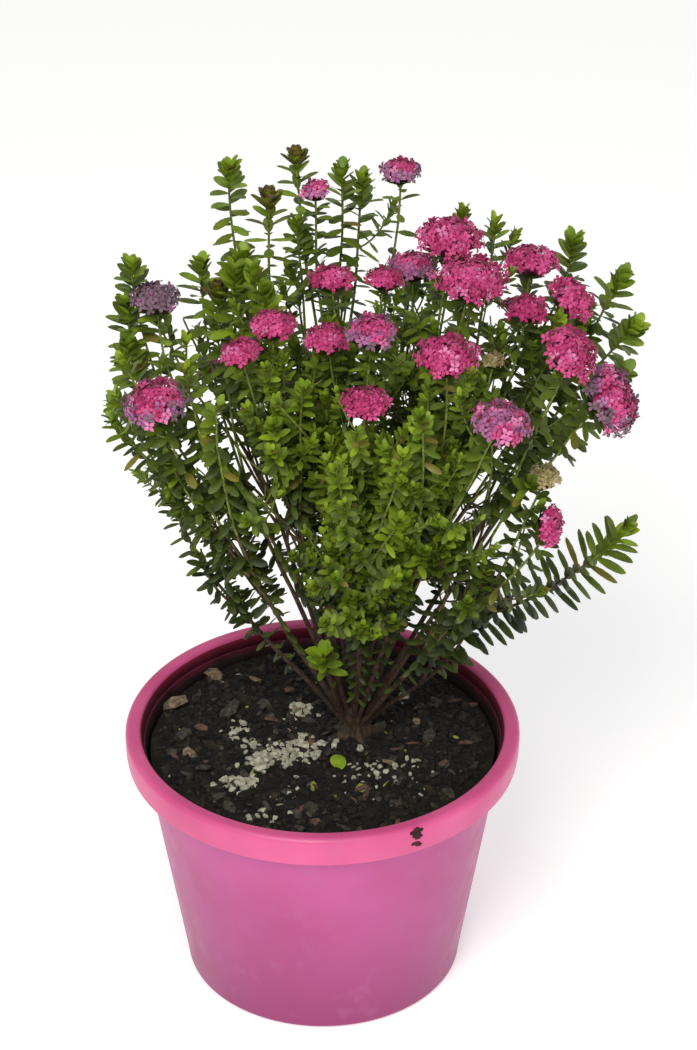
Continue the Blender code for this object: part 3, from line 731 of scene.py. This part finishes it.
def tube_block(path, radii, sides, relief):
    """Places and faces of a tapering tube along a path, with bark relief pressed in and out."""
    places = []
    side = (path[1] - path[0]).orthogonal().normalized()
    for index, centre in enumerate(path):
        ahead = (path[min(index + 1, len(path) - 1)] - path[max(index - 1, 0)]).normalized()
        side = (side - ahead * side.dot(ahead)).normalized()
        across = ahead.cross(side)
        for step in range(sides):
            turn = 2 * math.pi * step / sides
            out = side * math.cos(turn) + across * math.sin(turn)
            swell = 1 + relief * noise.noise((centre + out * 3 * MM) / (1.6 * MM))
            places.append(centre + out * radii[index] * swell)
    faces = []
    for ring in range(len(path) - 1):
        first = ring * sides
        for step in range(sides):
            following = (step + 1) % sides
            faces.append((first + step, first + following, first + sides + following, first + sides + step))
    return np.array([place[:] for place in places]), np.array(faces)


def twig_kind(place):
    """Brown near the crown, olive up the limbs, green where the wood is young."""
    reach = (place - CROWN_POINT).length
    if reach < BROWN_REACH:
        return "stem_brown"
    if reach < OLIVE_REACH:
        return "stem_olive"
    return "stem_green"


def add_twig(path, radii, sides=6, relief=0.12):
    """Add a twig to the heap of each colour that it passes through."""
    start = 0
    for index in range(1, len(path)):
        last = index == len(path) - 1
        if last or twig_kind(path[index]) != twig_kind(path[start]):
            stretch = path[start:index + 1]
            if len(stretch) > 1:
                places, faces = tube_block(stretch, radii[start:index + 1], sides, relief)
                TWIGS[twig_kind(path[start])].add(places, faces)
            start = index


def bowed(start, bend, tip, steps):
    """Points of a quadratic curve."""
    path = []
    for step in range(steps + 1):
        share = step / steps
        path.append(start * (1 - share) ** 2 + bend * 2 * share * (1 - share) + tip * share ** 2)
    return path


def wander(path, width, rng):
    """Sway a path a little, with both ends kept."""
    phase = Vector((rng.uniform(0, 50), rng.uniform(0, 50), rng.uniform(0, 50)))
    swayed = []
    for index, place in enumerate(path):
        share = index / (len(path) - 1)
        drift = noise.noise_vector(place / (38 * MM) + phase)
        swayed.append(place + drift * width * math.sin(math.pi * share))
    return swayed


# ---- leaves
LEAF_KINDS = ("leaf_lime", "leaf_young", "leaf_mid", "leaf_dark", "leaf_deep", "leaf_olive")
LEAVES = {kind: Heap() for kind in LEAF_KINDS}
STATIONS = (0.0, 0.16, 0.42, 0.70, 0.90, 1.0)
BREADTHS = (0.16, 0.66, 1.0, 0.95, 0.62, 0.14)


def leaf_template(curl, fold):
    """An oval blade of ten quads: curl bends it down its length, fold lifts its margins."""
    places = []
    for share, breadth in zip(STATIONS, BREADTHS):
        droop = -curl * share * share
        edge = droop + fold * breadth * 0.5
        places += [(share, 0.5 * breadth, edge), (share, 0.0, droop), (share, -0.5 * breadth, edge)]
    faces = []
    for row in range(len(STATIONS) - 1):
        first = 3 * row
        faces.append((first + 1, first + 4, first + 3, first))
        faces.append((first + 2, first + 5, first + 4, first + 1))
    return np.array(places), np.array(faces)


SPREAD_LEAF = leaf_template(0.30, -0.14)
YOUNG_LEAF = leaf_template(0.20, 0.08)
CUPPED_LEAF = leaf_template(-0.06, 0.20)
CLOSED_TIP = 0.4 * MM
# How wide the leaves of each kind of rows are, and how far apart their pairs stand.
ROW_WIDTHS = {"level": 0.66, "square": 0.92, "close": 1.22}
ROW_SPACES = {"level": 1.9, "square": 0.56, "sparse": 2.3, "close": 0.84}


def up_to(length, stretch):
    """How much of a stretch in millimetres a length has run: a share, and never over one."""
    return min(1.0, length / (stretch * MM))


def jitter(width, rng):
    """A small random vector."""
    return Vector((rng.gauss(0, width), rng.gauss(0, width), rng.gauss(0, width)))


def leaning(ahead, out, angle):
    """The direction and the upper side of a blade that leans out from a shoot by an angle."""
    outward = ahead * math.cos(angle) + out * math.sin(angle)
    return outward, ahead * math.sin(angle) - out * math.cos(angle)


def add_leaf(heap, root, outward, face, length, width, template):
    """Add a leaf: root place, direction of its length, and roughly where its upper side faces."""
    places, faces = template
    shaped = places * (length, width, length)
    heap.add(shaped @ frame_of(outward, face) + np.array(root), faces)


def leaf_kind(age, reach, rng):
    """Lime at the tips, then young, mid and dark green down the shoot, with painted shade darkening the
    leaves deep in the crown.
    """
    # painted shade: leaves nearer the crown point than SUNLIT_REACH are scored older and so drawn darker
    score = age + rng.gauss(0, 9) + 0.38 * max(0.0, SUNLIT_REACH - reach) / MM
    if rng.random() < 0.018:
        return "leaf_olive"
    if score < LIME_UNTIL:
        return "leaf_lime"
    if score < YOUNG_UNTIL:
        return "leaf_young"
    # painted shade: within SHADY_REACH most leaves take the deepest or dark green
    if reach < SHADY_REACH and rng.random() < 0.66:
        return "leaf_deep" if rng.random() < 0.55 else "leaf_dark"
    if score < MID_UNTIL:
        return "leaf_mid"
    return "leaf_dark"


def leaf_up(path, radii, bare, rng, size=1.0, closed_tip=True, shade=0, rows=None):
    """Put crossed pairs of leaves down a shoot from its tip, closer and smaller at the tip.

    Rows starts the pairs out to the sides: level keeps them all there, and square has one
    pair level and the next upright, as on an arching branch.  Close and sparse are how near
    the pairs stand, and basal leaves look younger.  Shade is painted shade, added to each
    leaf's age so that its green is drawn darker.  All but close rows also keep their leaves
    where the crown opens.
    """
    lengths = [0.0]
    for first, second in zip(path, path[1:]):
        lengths.append(lengths[-1] + (second - first).length)
    total = lengths[-1]
    from_tip = CLOSED_TIP if closed_tip else HEAD_CLEAR
    quarter = rng.uniform(0, math.pi)
    side = (path[-1] - path[-2]).orthogonal().normalized()
    if rows:
        side = Vector((0, 0, 1)).cross(path[-1] - path[-2]).normalized()
        quarter = 0.0
    index = len(path) - 2
    while total - from_tip > bare:
        at = total - from_tip
        while index > 0 and lengths[index] > at:
            index -= 1
        share = (at - lengths[index]) / max(1e-9, lengths[index + 1] - lengths[index])
        ahead = (path[index + 1] - path[index]).normalized()
        side = (side - ahead * side.dot(ahead)).normalized()
        centre = path[index].lerp(path[index + 1], share)
        age = up_to(from_tip, 24)
        open_angle = math.radians(30 + 54 * age ** 0.7)
        if not closed_tip:
            open_angle = math.radians(56 + 26 * age)
        grown = (0.62 + 0.38 * up_to(from_tip, 9)) * size
        if rows == "square":
            grown *= 0.86 + 0.14 * up_to(from_tip, 22)
        from_crown = (centre - CROWN_POINT).length
        if from_crown < SMALL_LEAF_REACH:
            grown *= 0.74
        for half in (0.0, math.pi):
            if rng.random() < 0.02 + 0.05 * (age >= 1.0):
                continue
            spin = Matrix.Rotation(quarter + half + rng.gauss(0, 0.09), 3, ahead)
            away = (spin @ side).normalized()
            angle = (open_angle if rows != "square" else open_angle * 0.78) + rng.gauss(0, 0.09)
            outward, face = leaning(ahead, away, angle)
            face = (face + jitter(0.12, rng)).normalized()
            template = CUPPED_LEAF if age < 0.22 else YOUNG_LEAF if age < 0.6 else SPREAD_LEAF
            length = LEAF_LENGTH * grown * rng.uniform(0.86, 1.14)
            width = LEAF_WIDTH * grown * rng.uniform(0.86, 1.14) * (1.3 - 0.3 * up_to(from_tip, 12))
            width *= ROW_WIDTHS.get(rows, 1.0)
            # painted shade: the shade, grown in below the tip, makes the leaf's colour older and darker
            shaded = shade * up_to(from_tip, 30 if rows == "square" else 8)
            worn = from_tip / MM + shaded + (0 if closed_tip else 12)
            if rows == "basal":
                worn -= 32
            kind = leaf_kind(worn, from_crown, rng)
            if rows == "square":
                face += Vector((0, -0.45, 0.5))
            if rows not in (None, "close") or not in_opening(centre + outward * length * 0.6):
                root = centre + away * radii[index] * 0.6
                add_leaf(LEAVES[kind], root, outward, face, length, width, template)
        quarter += (0.0 if rows == "level" else math.pi / 2) + rng.gauss(0, 0.08)
        crowding = 0.24 + 0.76 * up_to(from_tip, 19)
        if rows == "square":
            crowding = 0.42 + 0.58 * crowding
        crowding *= ROW_SPACES.get(rows, 1.0)
        from_tip += NODE_SPACE * crowding * rng.uniform(0.88, 1.12)


# ---- flower heads
PETAL_KINDS = (
    "petal_pink", "petal_magenta", "petal_light", "petal_lilac", "petal_faded", "dry_bract", "bud_bract")
PETALS = {kind: Heap() for kind in PETAL_KINDS}
HEAD_TINTS = {
    "fresh": (("petal_pink", 0.60), ("petal_magenta", 0.30), ("petal_light", 0.10)),
    "deep": (("petal_magenta", 0.62), ("petal_pink", 0.38)),
    "lilac": (("petal_lilac", 0.55), ("petal_light", 0.20), ("petal_pink", 0.25)),
    "faded": (("petal_faded", 0.72), ("petal_lilac", 0.28)),
    "dry": (("dry_bract", 1.0),),
}


def floret_template():
    """Four pointed lobes that spread from a mouth, each a quad in two halves and a tip."""
    places = []
    faces = []
    for lobe in range(4):
        turn = math.pi / 2 * lobe
        along = Vector((math.cos(turn), math.sin(turn), 0.0))
        across = Vector((-math.sin(turn), math.cos(turn), 0.0))
        first = len(places)
        for reach, half, height in ((0.10, 0.16, -0.10), (0.62, 0.36, 0.10)):
            places.append((along * reach + across * half) + Vector((0, 0, height)))
            places.append((along * reach - across * half) + Vector((0, 0, height)))
        places.append(along * 1.12 + Vector((0, 0, 0.04)))
        for corners in ((0, 1, 3), (0, 3, 2), (2, 3, 4)):
            faces.append([first + corner for corner in corners])
    return np.array([place[:] for place in places]), np.array(faces)


HEAD_THROATS = {"petal_lilac": "petal_lilac", "petal_faded": "petal_faded", "dry_bract": "dry_bract"}
HEAD_CROWDING = 3.1
HEAD_LIFT = 0.42
HEAD_DOME = 0.92
HEAD_BRACTS = 8
BUD_BRACTS = 16
LOBE = 1.9 * MM
TUBE_RADIUS = 0.42 * MM
FLORET_PLACES, FLORET_FACES = floret_template()


def throat_template():
    """The floret's tube: a three-sided taper from the head's middle to its mouth."""
    places = []
    for height, radius in ((-1.0, 0.35), (0.0, 1.0)):
        for step in range(3):
            turn = 2 * math.pi * step / 3
            places.append((radius * math.cos(turn), radius * math.sin(turn), height))
    faces = []
    for step in range(3):
        following = (step + 1) % 3
        faces.append((step, following, following + 3))
        faces.append((step, following + 3, step + 3))
    return np.array(places), np.array(faces)


THROAT_PLACES, THROAT_FACES = throat_template()


def pick(tints, rng):
    """Draw a kind by its share."""
    draw = rng.random()
    for kind, share in tints:
        draw -= share
        if draw <= 0:
            return kind
    return tints[-1][0]


def add_head(receptacle, ahead, width, style, rng):
    """A posy: florets on tubes that fan out of one receptacle to a shallow dome."""
    radius = width / 2
    count = int(HEAD_CROWDING * (radius / LOBE) ** 2) + 10
    side = ahead.orthogonal().normalized()
    for index in range(count):
        share = (index + 0.5) / count
        ring = math.sqrt(share)
        out = Matrix.Rotation(GOLDEN_ANGLE * index + rng.gauss(0, 0.08), 3, ahead) @ side
        rise = HEAD_LIFT + (HEAD_DOME - HEAD_LIFT) * math.sqrt(max(0.0, 1 - ring ** 2.4))
        reach = out * ring + ahead * rise
        mouth = receptacle + reach * radius * rng.uniform(0.90, 1.06)
        facing = (out * ring * 1.25 + ahead * (0.18 + 0.9 * (1 - ring ** 2))).normalized()
        facing = (facing + jitter(0.22, rng)).normalized()
        if style == "ageing":
            edge = ring + rng.gauss(0, 0.10)
            tints = HEAD_TINTS["fresh"] if edge < 0.66 else HEAD_TINTS["faded" if edge > 0.86 else "lilac"]
        else:
            tints = HEAD_TINTS["fresh" if style == "side" else style]
        kind = pick(tints, rng)
        rows = frame_of(facing.orthogonal(), facing)
        spin = np.array(Matrix.Rotation(rng.uniform(0, 1.57), 3, "Z"))
        size = LOBE * rng.uniform(0.85, 1.15)
        PETALS[kind].add((FLORET_PLACES @ spin * size) @ rows + np.array(mouth), FLORET_FACES)
        tube = mouth - receptacle
        rows = frame_of(tube.orthogonal(), tube)
        throat = HEAD_THROATS.get(kind, "petal_magenta")
        shaped = THROAT_PLACES * (TUBE_RADIUS, TUBE_RADIUS, tube.length * 0.9)
        PETALS[throat].add(shaped @ rows + np.array(mouth), THROAT_FACES)
    heart = LUMP_PLACES * (radius * 0.74, radius * 0.74, radius * 0.26)
    rows = frame_of(side, ahead)
    core = {"dry": "dry_bract", "faded": "petal_faded"}.get(style, "petal_magenta")
    PETALS[core].add(heart @ rows + np.array(receptacle + ahead * radius * HEAD_DOME * 0.52), LUMP_FACES)
    for index in range(HEAD_BRACTS):
        out = Matrix.Rotation(math.tau / HEAD_BRACTS * index + rng.gauss(0, 0.1), 3, ahead) @ side
        outward, face = leaning(ahead, out, math.radians(rng.uniform(44, 62)))
        bract = LEAVES[rng.choice(("leaf_dark", "leaf_mid", "leaf_olive", "leaf_mid"))]
        root = receptacle - ahead * (0.6 + 0.6 * (index % 2)) * MM
        add_leaf(bract, root, outward, face, radius * rng.uniform(0.72, 0.86), 4.2 * MM, YOUNG_LEAF)


def add_bud(tip, ahead, width, rng):
    """A closed bud: overlapping brown-green bracts round a small cone."""
    side = ahead.orthogonal().normalized()
    for index in range(BUD_BRACTS):
        share = index / (BUD_BRACTS - 1)
        out = Matrix.Rotation(GOLDEN_ANGLE * index, 3, ahead) @ side
        outward, face = leaning(ahead, out, math.radians(52 - 40 * share))
        bract = PETALS["bud_bract"] if rng.random() < 0.4 else LEAVES["leaf_olive"]
        root = tip - ahead * width * 0.45 * (1 - share)
        add_leaf(bract, root, outward, face, width * (0.95 - 0.35 * share), width * 0.42, CUPPED_LEAF)


# ---- growing the masses
# Shoots that end in leaves or a bud, and how large their leaves are.
LEAFY_KINDS = {
    "leafy": 1.0, "filler": 0.94, "bud": 1.15, "tuft": 1.3, "spire": 1.15, "arching": 1.55,
    "combed": 1.25, "stalk": 0.7}
LEAF_ROWS = {"arching": "square", "combed": "level", "lone": "sparse", "tuft": "close", "spire": "close"}
HEAD_STYLES = {"leaning": "ageing", "lone": "ageing", "tilted": "fresh"}
LIMB_STEPS = 18
SHOOT_STEPS = 22
SPRIG_STEPS = 6

# Which way a head is turned off its shoot: most look up, some look out to the right.
HEAD_TURN = {
    "side": Vector((0.9, -0.2, -0.7)), "leaning": Vector((0.75, -0.25, 0.1)),
    "tilted": Vector((0.55, -0.2, 0.1))}


def add_sprigs(path, count, shade, leaf, rng):
    """Short side shoots in the leaf axils, each ending in its own tuft."""
    for _ in range(count):
        index = rng.randrange(int(len(path) * 0.35), int(len(path) * 0.86))
        ahead = (path[index + 1] - path[index]).normalized()
        out = Matrix.Rotation(rng.uniform(0, ANY_TURN), 3, ahead) @ ahead.orthogonal().normalized()
        length = rng.uniform(11, 26) * MM
        tip = path[index] + (ahead * 0.66 + out * 0.62 + Vector((0, 0, 0.25))).normalized() * length
        bend = path[index] + (ahead * 0.4 + out * 0.8) * length * 0.45
        sprig = bowed(path[index], bend, tip, SPRIG_STEPS)
        widths = [SPRIG_RADIUS * (1 - 0.35 * step / SPRIG_STEPS) for step in range(SPRIG_STEPS + 1)]
        add_twig(sprig, widths, sides=5, relief=0.05)
        older = rng.choice((0, 6, 14, 24))
        leaf_up(sprig, widths, 3.0 * MM, rng, rng.uniform(0.72, 0.94) * leaf, shade=shade + older)


def arched(start, tip):
    """The low branch: it climbs out of the crown, runs on nearly level, and turns up at its tip."""
    reach = (tip - start).length
    knee = start.lerp(tip, 0.467) + Vector((-0.056, -0.047, 0.051)) * reach
    rise = start.lerp(tip, 0.252) + Vector((-0.080, -0.034, 0.077)) * reach
    sag = start.lerp(tip, 0.754) + Vector((0.034, -0.022, -0.038)) * reach
    half = SHOOT_STEPS // 2
    return bowed(start, rise, knee, half) + bowed(knee, sag, tip, half)[1:]


def add_shoot(start, axis, tip, kind, width, bare, plan, rng):
    """One shoot from a limb to its tip, with its leaves, sprigs, and head or tuft."""
    reach = (tip - start).length
    bend = start + axis * 0.36 * reach + (tip - start) * 0.10
    bend = bend.lerp(tip - Vector((0, 0, 0.5)) * reach, plan["lift"])
    sway = 2.6 * MM
    if kind == "arching":
        bare = 12 * MM
    if kind in ("combed", "stalk"):
        bend = start.lerp(tip, 0.5) + Vector((0, 0, 0.03)) * reach
        sway = 0.8 * MM
    if kind == "stalk":
        bare = reach - 5 * MM
    path = arched(start, tip) if kind == "arching" else bowed(start, bend, tip, SHOOT_STEPS)
    path = wander(path, sway, rng)
    foot_radius = SHOOT_RADIUS * (1.35 if kind in ("arching", "combed") else 1.0)
    radii = []
    for step in range(SHOOT_STEPS + 1):
        radii.append(foot_radius + (SHOOT_TIP_RADIUS - foot_radius) * step / SHOOT_STEPS)
    add_twig(path, radii)
    ahead = (path[-1] - path[-3]).normalized()
    leafy = kind in LEAFY_KINDS
    size = LEAFY_KINDS.get(kind, 1.0) * plan["leaf"]
    leaf_up(path, radii, bare, rng, size, leafy, plan["shade"], LEAF_ROWS.get(kind))
    if kind not in ("stalk", "combed", "arching"):
        add_sprigs(path, plan["sprigs"], plan["shade"], plan["leaf"], rng)
    if kind == "bud":
        add_bud(tip, ahead, width * MM, rng)
    elif not leafy:
        face = (ahead + HEAD_TURN.get(kind, Vector((0, 0, 0.5)))).normalized()
        radius = width * MM / 2
        add_head(tip - face * radius * 0.62, face, width * MM, HEAD_STYLES.get(kind, kind), rng)


def grow_mass(name, rng):
    """A bough and its stem up the mass's ray, the main shoots, and leafy ones fanned round."""
    plan = MASSES[name]
    axis = plan["axis"]
    bough_end = plan["bough_end"]
    bare = plan["bare"]
    places = []
    for azimuth, lean, reach, kind, width in plan["tips"]:
        places.append((CROWN_POINT + ray(azimuth, lean) * reach * MM, kind, width))
    longest = max(tip[2] for tip in plan["tips"]) * MM
    stem_end = bough_end + 0.42 * (longest - bough_end)
    if plan["tips"][0][3] == "arching":
        stem_end = bough_end + 3 * MM
    limb = []
    widths = []
    for step in range(LIMB_STEPS + 1):
        share = step / LIMB_STEPS
        limb.append(CROWN_POINT + axis * (5 * MM + (stem_end - 5 * MM) * share))
        widths.append(BOUGH_FOOT_RADIUS + (STEM_TIP_RADIUS - BOUGH_FOOT_RADIUS) * share ** 0.7)
    limb = wander(limb, 1.6 * MM, rng)
    add_twig(limb, widths, sides=8, relief=0.22)
    rows = "level" if plan["comb"] else None
    # painted shade: the limb's leaves, inside the crown, take 14 more shade than the mass's shoots
    leaf_up(limb, widths, bare, rng, 0.95 * plan["leaf"], False, plan["shade"] + 14, rows)
    turn = rng.uniform(0, ANY_TURN)
    side = axis.orthogonal().normalized()
    for _ in range(plan["fill"]):
        turn += GOLDEN_ANGLE
        across = Matrix.Rotation(turn, 3, axis) @ side
        reach = longest * rng.uniform(0.50, 0.90)
        spread = math.tan(math.radians(rng.uniform(2.5, 8.0))) * reach
        places.append((CROWN_POINT + axis * reach + across * spread, "filler", 0))
    for order, (tip, kind, width) in enumerate(places):
        reach = (tip - CROWN_POINT).dot(axis)
        share = 1.0 if order == 0 or kind == "stalk" else rng.uniform(plan["fork"], 0.96)
        if kind in ("arching", "combed"):
            share = 0.04
        start_reach = min(bough_end + (stem_end - bough_end) * share, 0.72 * reach)
        start = min(limb, key=lambda place: abs((place - CROWN_POINT).length - start_reach))
        bare_stretch = max(0.0, bare - start_reach) + 2.5 * MM
        add_shoot(start, axis, tip, kind, width, bare_stretch, plan, rng)


def make_crown():
    """The woody crown at the soil: a flared, knuckled foot that the stems leave."""
    crown = start_shape(
        bpy.ops.mesh.primitive_cylinder_add, vertices=40, radius=4.4 * MM, depth=3 * MM,
        end_fill_type="NGON", location=(CROWN_POINT.x, CROWN_POINT.y, SOIL_TOP))
    bpy.ops.object.mode_set(mode="EDIT")
    bpy.ops.mesh.select_all(action="DESELECT")
    bpy.ops.object.mode_set(mode="OBJECT")
    for face in crown.data.polygons:
        face.select = face.normal.z > 0.9
    bpy.ops.object.mode_set(mode="EDIT")
    bpy.ops.mesh.select_mode(type="FACE")
    for rise, ratio in ((1.5, 0.92), (2.0, 1.0), (2.0, 1.06), (2.0, 0.98), (1.6, 0.78), (0.9, 0.5)):
        bpy.ops.mesh.extrude_region_move(TRANSFORM_OT_translate={"value": (0, 0, rise * MM)})
        bpy.ops.transform.resize(value=(ratio, ratio, 1))
    bpy.ops.mesh.select_all(action="SELECT")
    bpy.ops.mesh.subdivide(number_cuts=1)
    bpy.ops.object.mode_set(mode="OBJECT")
    for vertex in crown.data.vertices:
        out = vertex.co - Vector((CROWN_POINT.x, CROWN_POINT.y, vertex.co.z))
        low = max(0.0, 1 - (vertex.co.z - SOIL_TOP) / (4 * MM))
        turn = math.atan2(out.y, out.x)
        ribs = 0.18 * math.sin(5 * turn + 1.0) + 0.10 * math.sin(9 * turn)
        lumps = 0.22 * noise.noise(vertex.co / (2.2 * MM))
        push = ribs * (0.5 + low) + lumps + 0.42 * low * low
        vertex.co += out * push
    bpy.ops.object.shade_smooth_by_angle(angle=math.radians(60))
    dress(crown, "woody_crown", "crown_bark", "bark", "main_stem")


def make_shrub():
    """Grow every mass, then join what is of one kind."""
    rng = random.Random(SEED + 1)
    for order, name in enumerate(MASSES):
        grow_mass(name, random.Random(SEED * 100 + order))
    add_base_sprig(rng)
    for kind, heap in TWIGS.items():
        slot = "bark" if kind == "stem_brown" else "foliage"
        replaced = BOUGH_NODES if kind == "stem_brown" else MASS_NODES
        dress(heap.build(), "twigs_" + kind, kind, slot, *replaced)
    for kind, heap in {**LEAVES, **PETALS}.items():
        dress(heap.build(smooth=kind in LEAF_KINDS), "spray_" + kind, kind, "foliage", *MASS_NODES)


def add_base_sprig(rng):
    """The small bright sprig low down at the front of the stems, and a fallen leaf."""
    start = CROWN_POINT + Vector((-3, -3, 8)) * MM
    tip = Vector((0.5, -20, 140)) * MM
    sprig = bowed(start, start.lerp(tip, 0.5) + Vector((-2, 0, 0)) * MM, tip, 8)
    widths = [0.5 * MM] * len(sprig)
    add_twig(sprig, widths, sides=5, relief=0.05)
    leaf_up(sprig, widths, 36 * MM, rng, size=1.4, rows="basal")
    fallen = Vector((4.3, -10.6, 0.0)) * MM
    fallen.z = soil_height(fallen.x, fallen.y) + 1.6 * MM
    outward = Vector((0.3, -1.0, 0.1))
    add_leaf(LEAVES["leaf_lime"], fallen, outward, Vector((0, -0.3, 1)), 8 * MM, 5.5 * MM, YOUNG_LEAF)


# ---- floor, light and camera
def make_stage():
    """A plain white table that glows a little, so that shadows on it stay pale."""
    floor = start_shape(bpy.ops.mesh.primitive_plane_add, size=40.0, location=(0, 0, -0.2 * MM))
    floor.name = "floor"
    made, _, shader, _ = new_material("floor_white", 0.9)
    shader.inputs["Base Color"].default_value = linear("FCFCFC")
    shader.inputs["Emission Color"].default_value = linear("FFFFFF")
    shader.inputs["Emission Strength"].default_value = 0.34
    floor.data.materials.append(made)


def add_light(name, place, aim, size, energy, tint):
    """An area light at a place, turned to a point."""
    lamp = bpy.data.lights.new(name, "AREA")
    lamp.size = size
    lamp.energy = energy
    lamp.color = linear(tint)[:3]
    holder = new_object(name, lamp)
    holder.location = place
    holder.rotation_euler = (Vector(aim) - Vector(place)).to_track_quat("-Z", "Y").to_euler()


def make_light():
    """A white room: soft light from above and in front, and an even glow all round.

    Its tones are plain ones, so that the white table stays white.
    """
    bpy.context.scene.view_settings.view_transform = "Standard"
    world = bpy.data.worlds.new("studio")
    bpy.context.scene.world = world
    world.use_nodes = True
    background = world.node_tree.nodes["Background"]
    background.inputs["Color"].default_value = linear("FFFFFF")
    background.inputs["Strength"].default_value = 0.50
    aim = (0.01, 0.0, 0.15)
    add_light("key", (-0.28, -1.0, 1.25), aim, 0.6, 13, "FFFDF6")
    add_light("fill", (0.7, -1.1, 0.7), aim, 0.8, 3, "F6F8FF")


CAMERA_AIM = Vector((9.2, 0.0, 180.0)) * MM
CAMERA_DISTANCE = 1.100
CAMERA_ELEVATION = math.radians(31.0)
CAMERA_LENS = 110.3


def make_camera():
    """Look down on the pot from in front."""
    camera = bpy.data.cameras.new("camera")
    camera.lens = CAMERA_LENS
    camera.sensor_width = 36.0
    camera.clip_start = 0.05
    holder = new_object("camera", camera)
    back = Vector((0.0, -math.cos(CAMERA_ELEVATION), math.sin(CAMERA_ELEVATION)))
    holder.location = CAMERA_AIM + back * CAMERA_DISTANCE
    holder.rotation_euler = (math.pi / 2 - CAMERA_ELEVATION, 0.0, 0.0)
    bpy.context.scene.camera = holder


make_collar()
make_body()
make_soil_bed()
make_soil_litter()
make_smear()
make_crown()
make_shrub()
make_stage()
make_light()
make_camera()
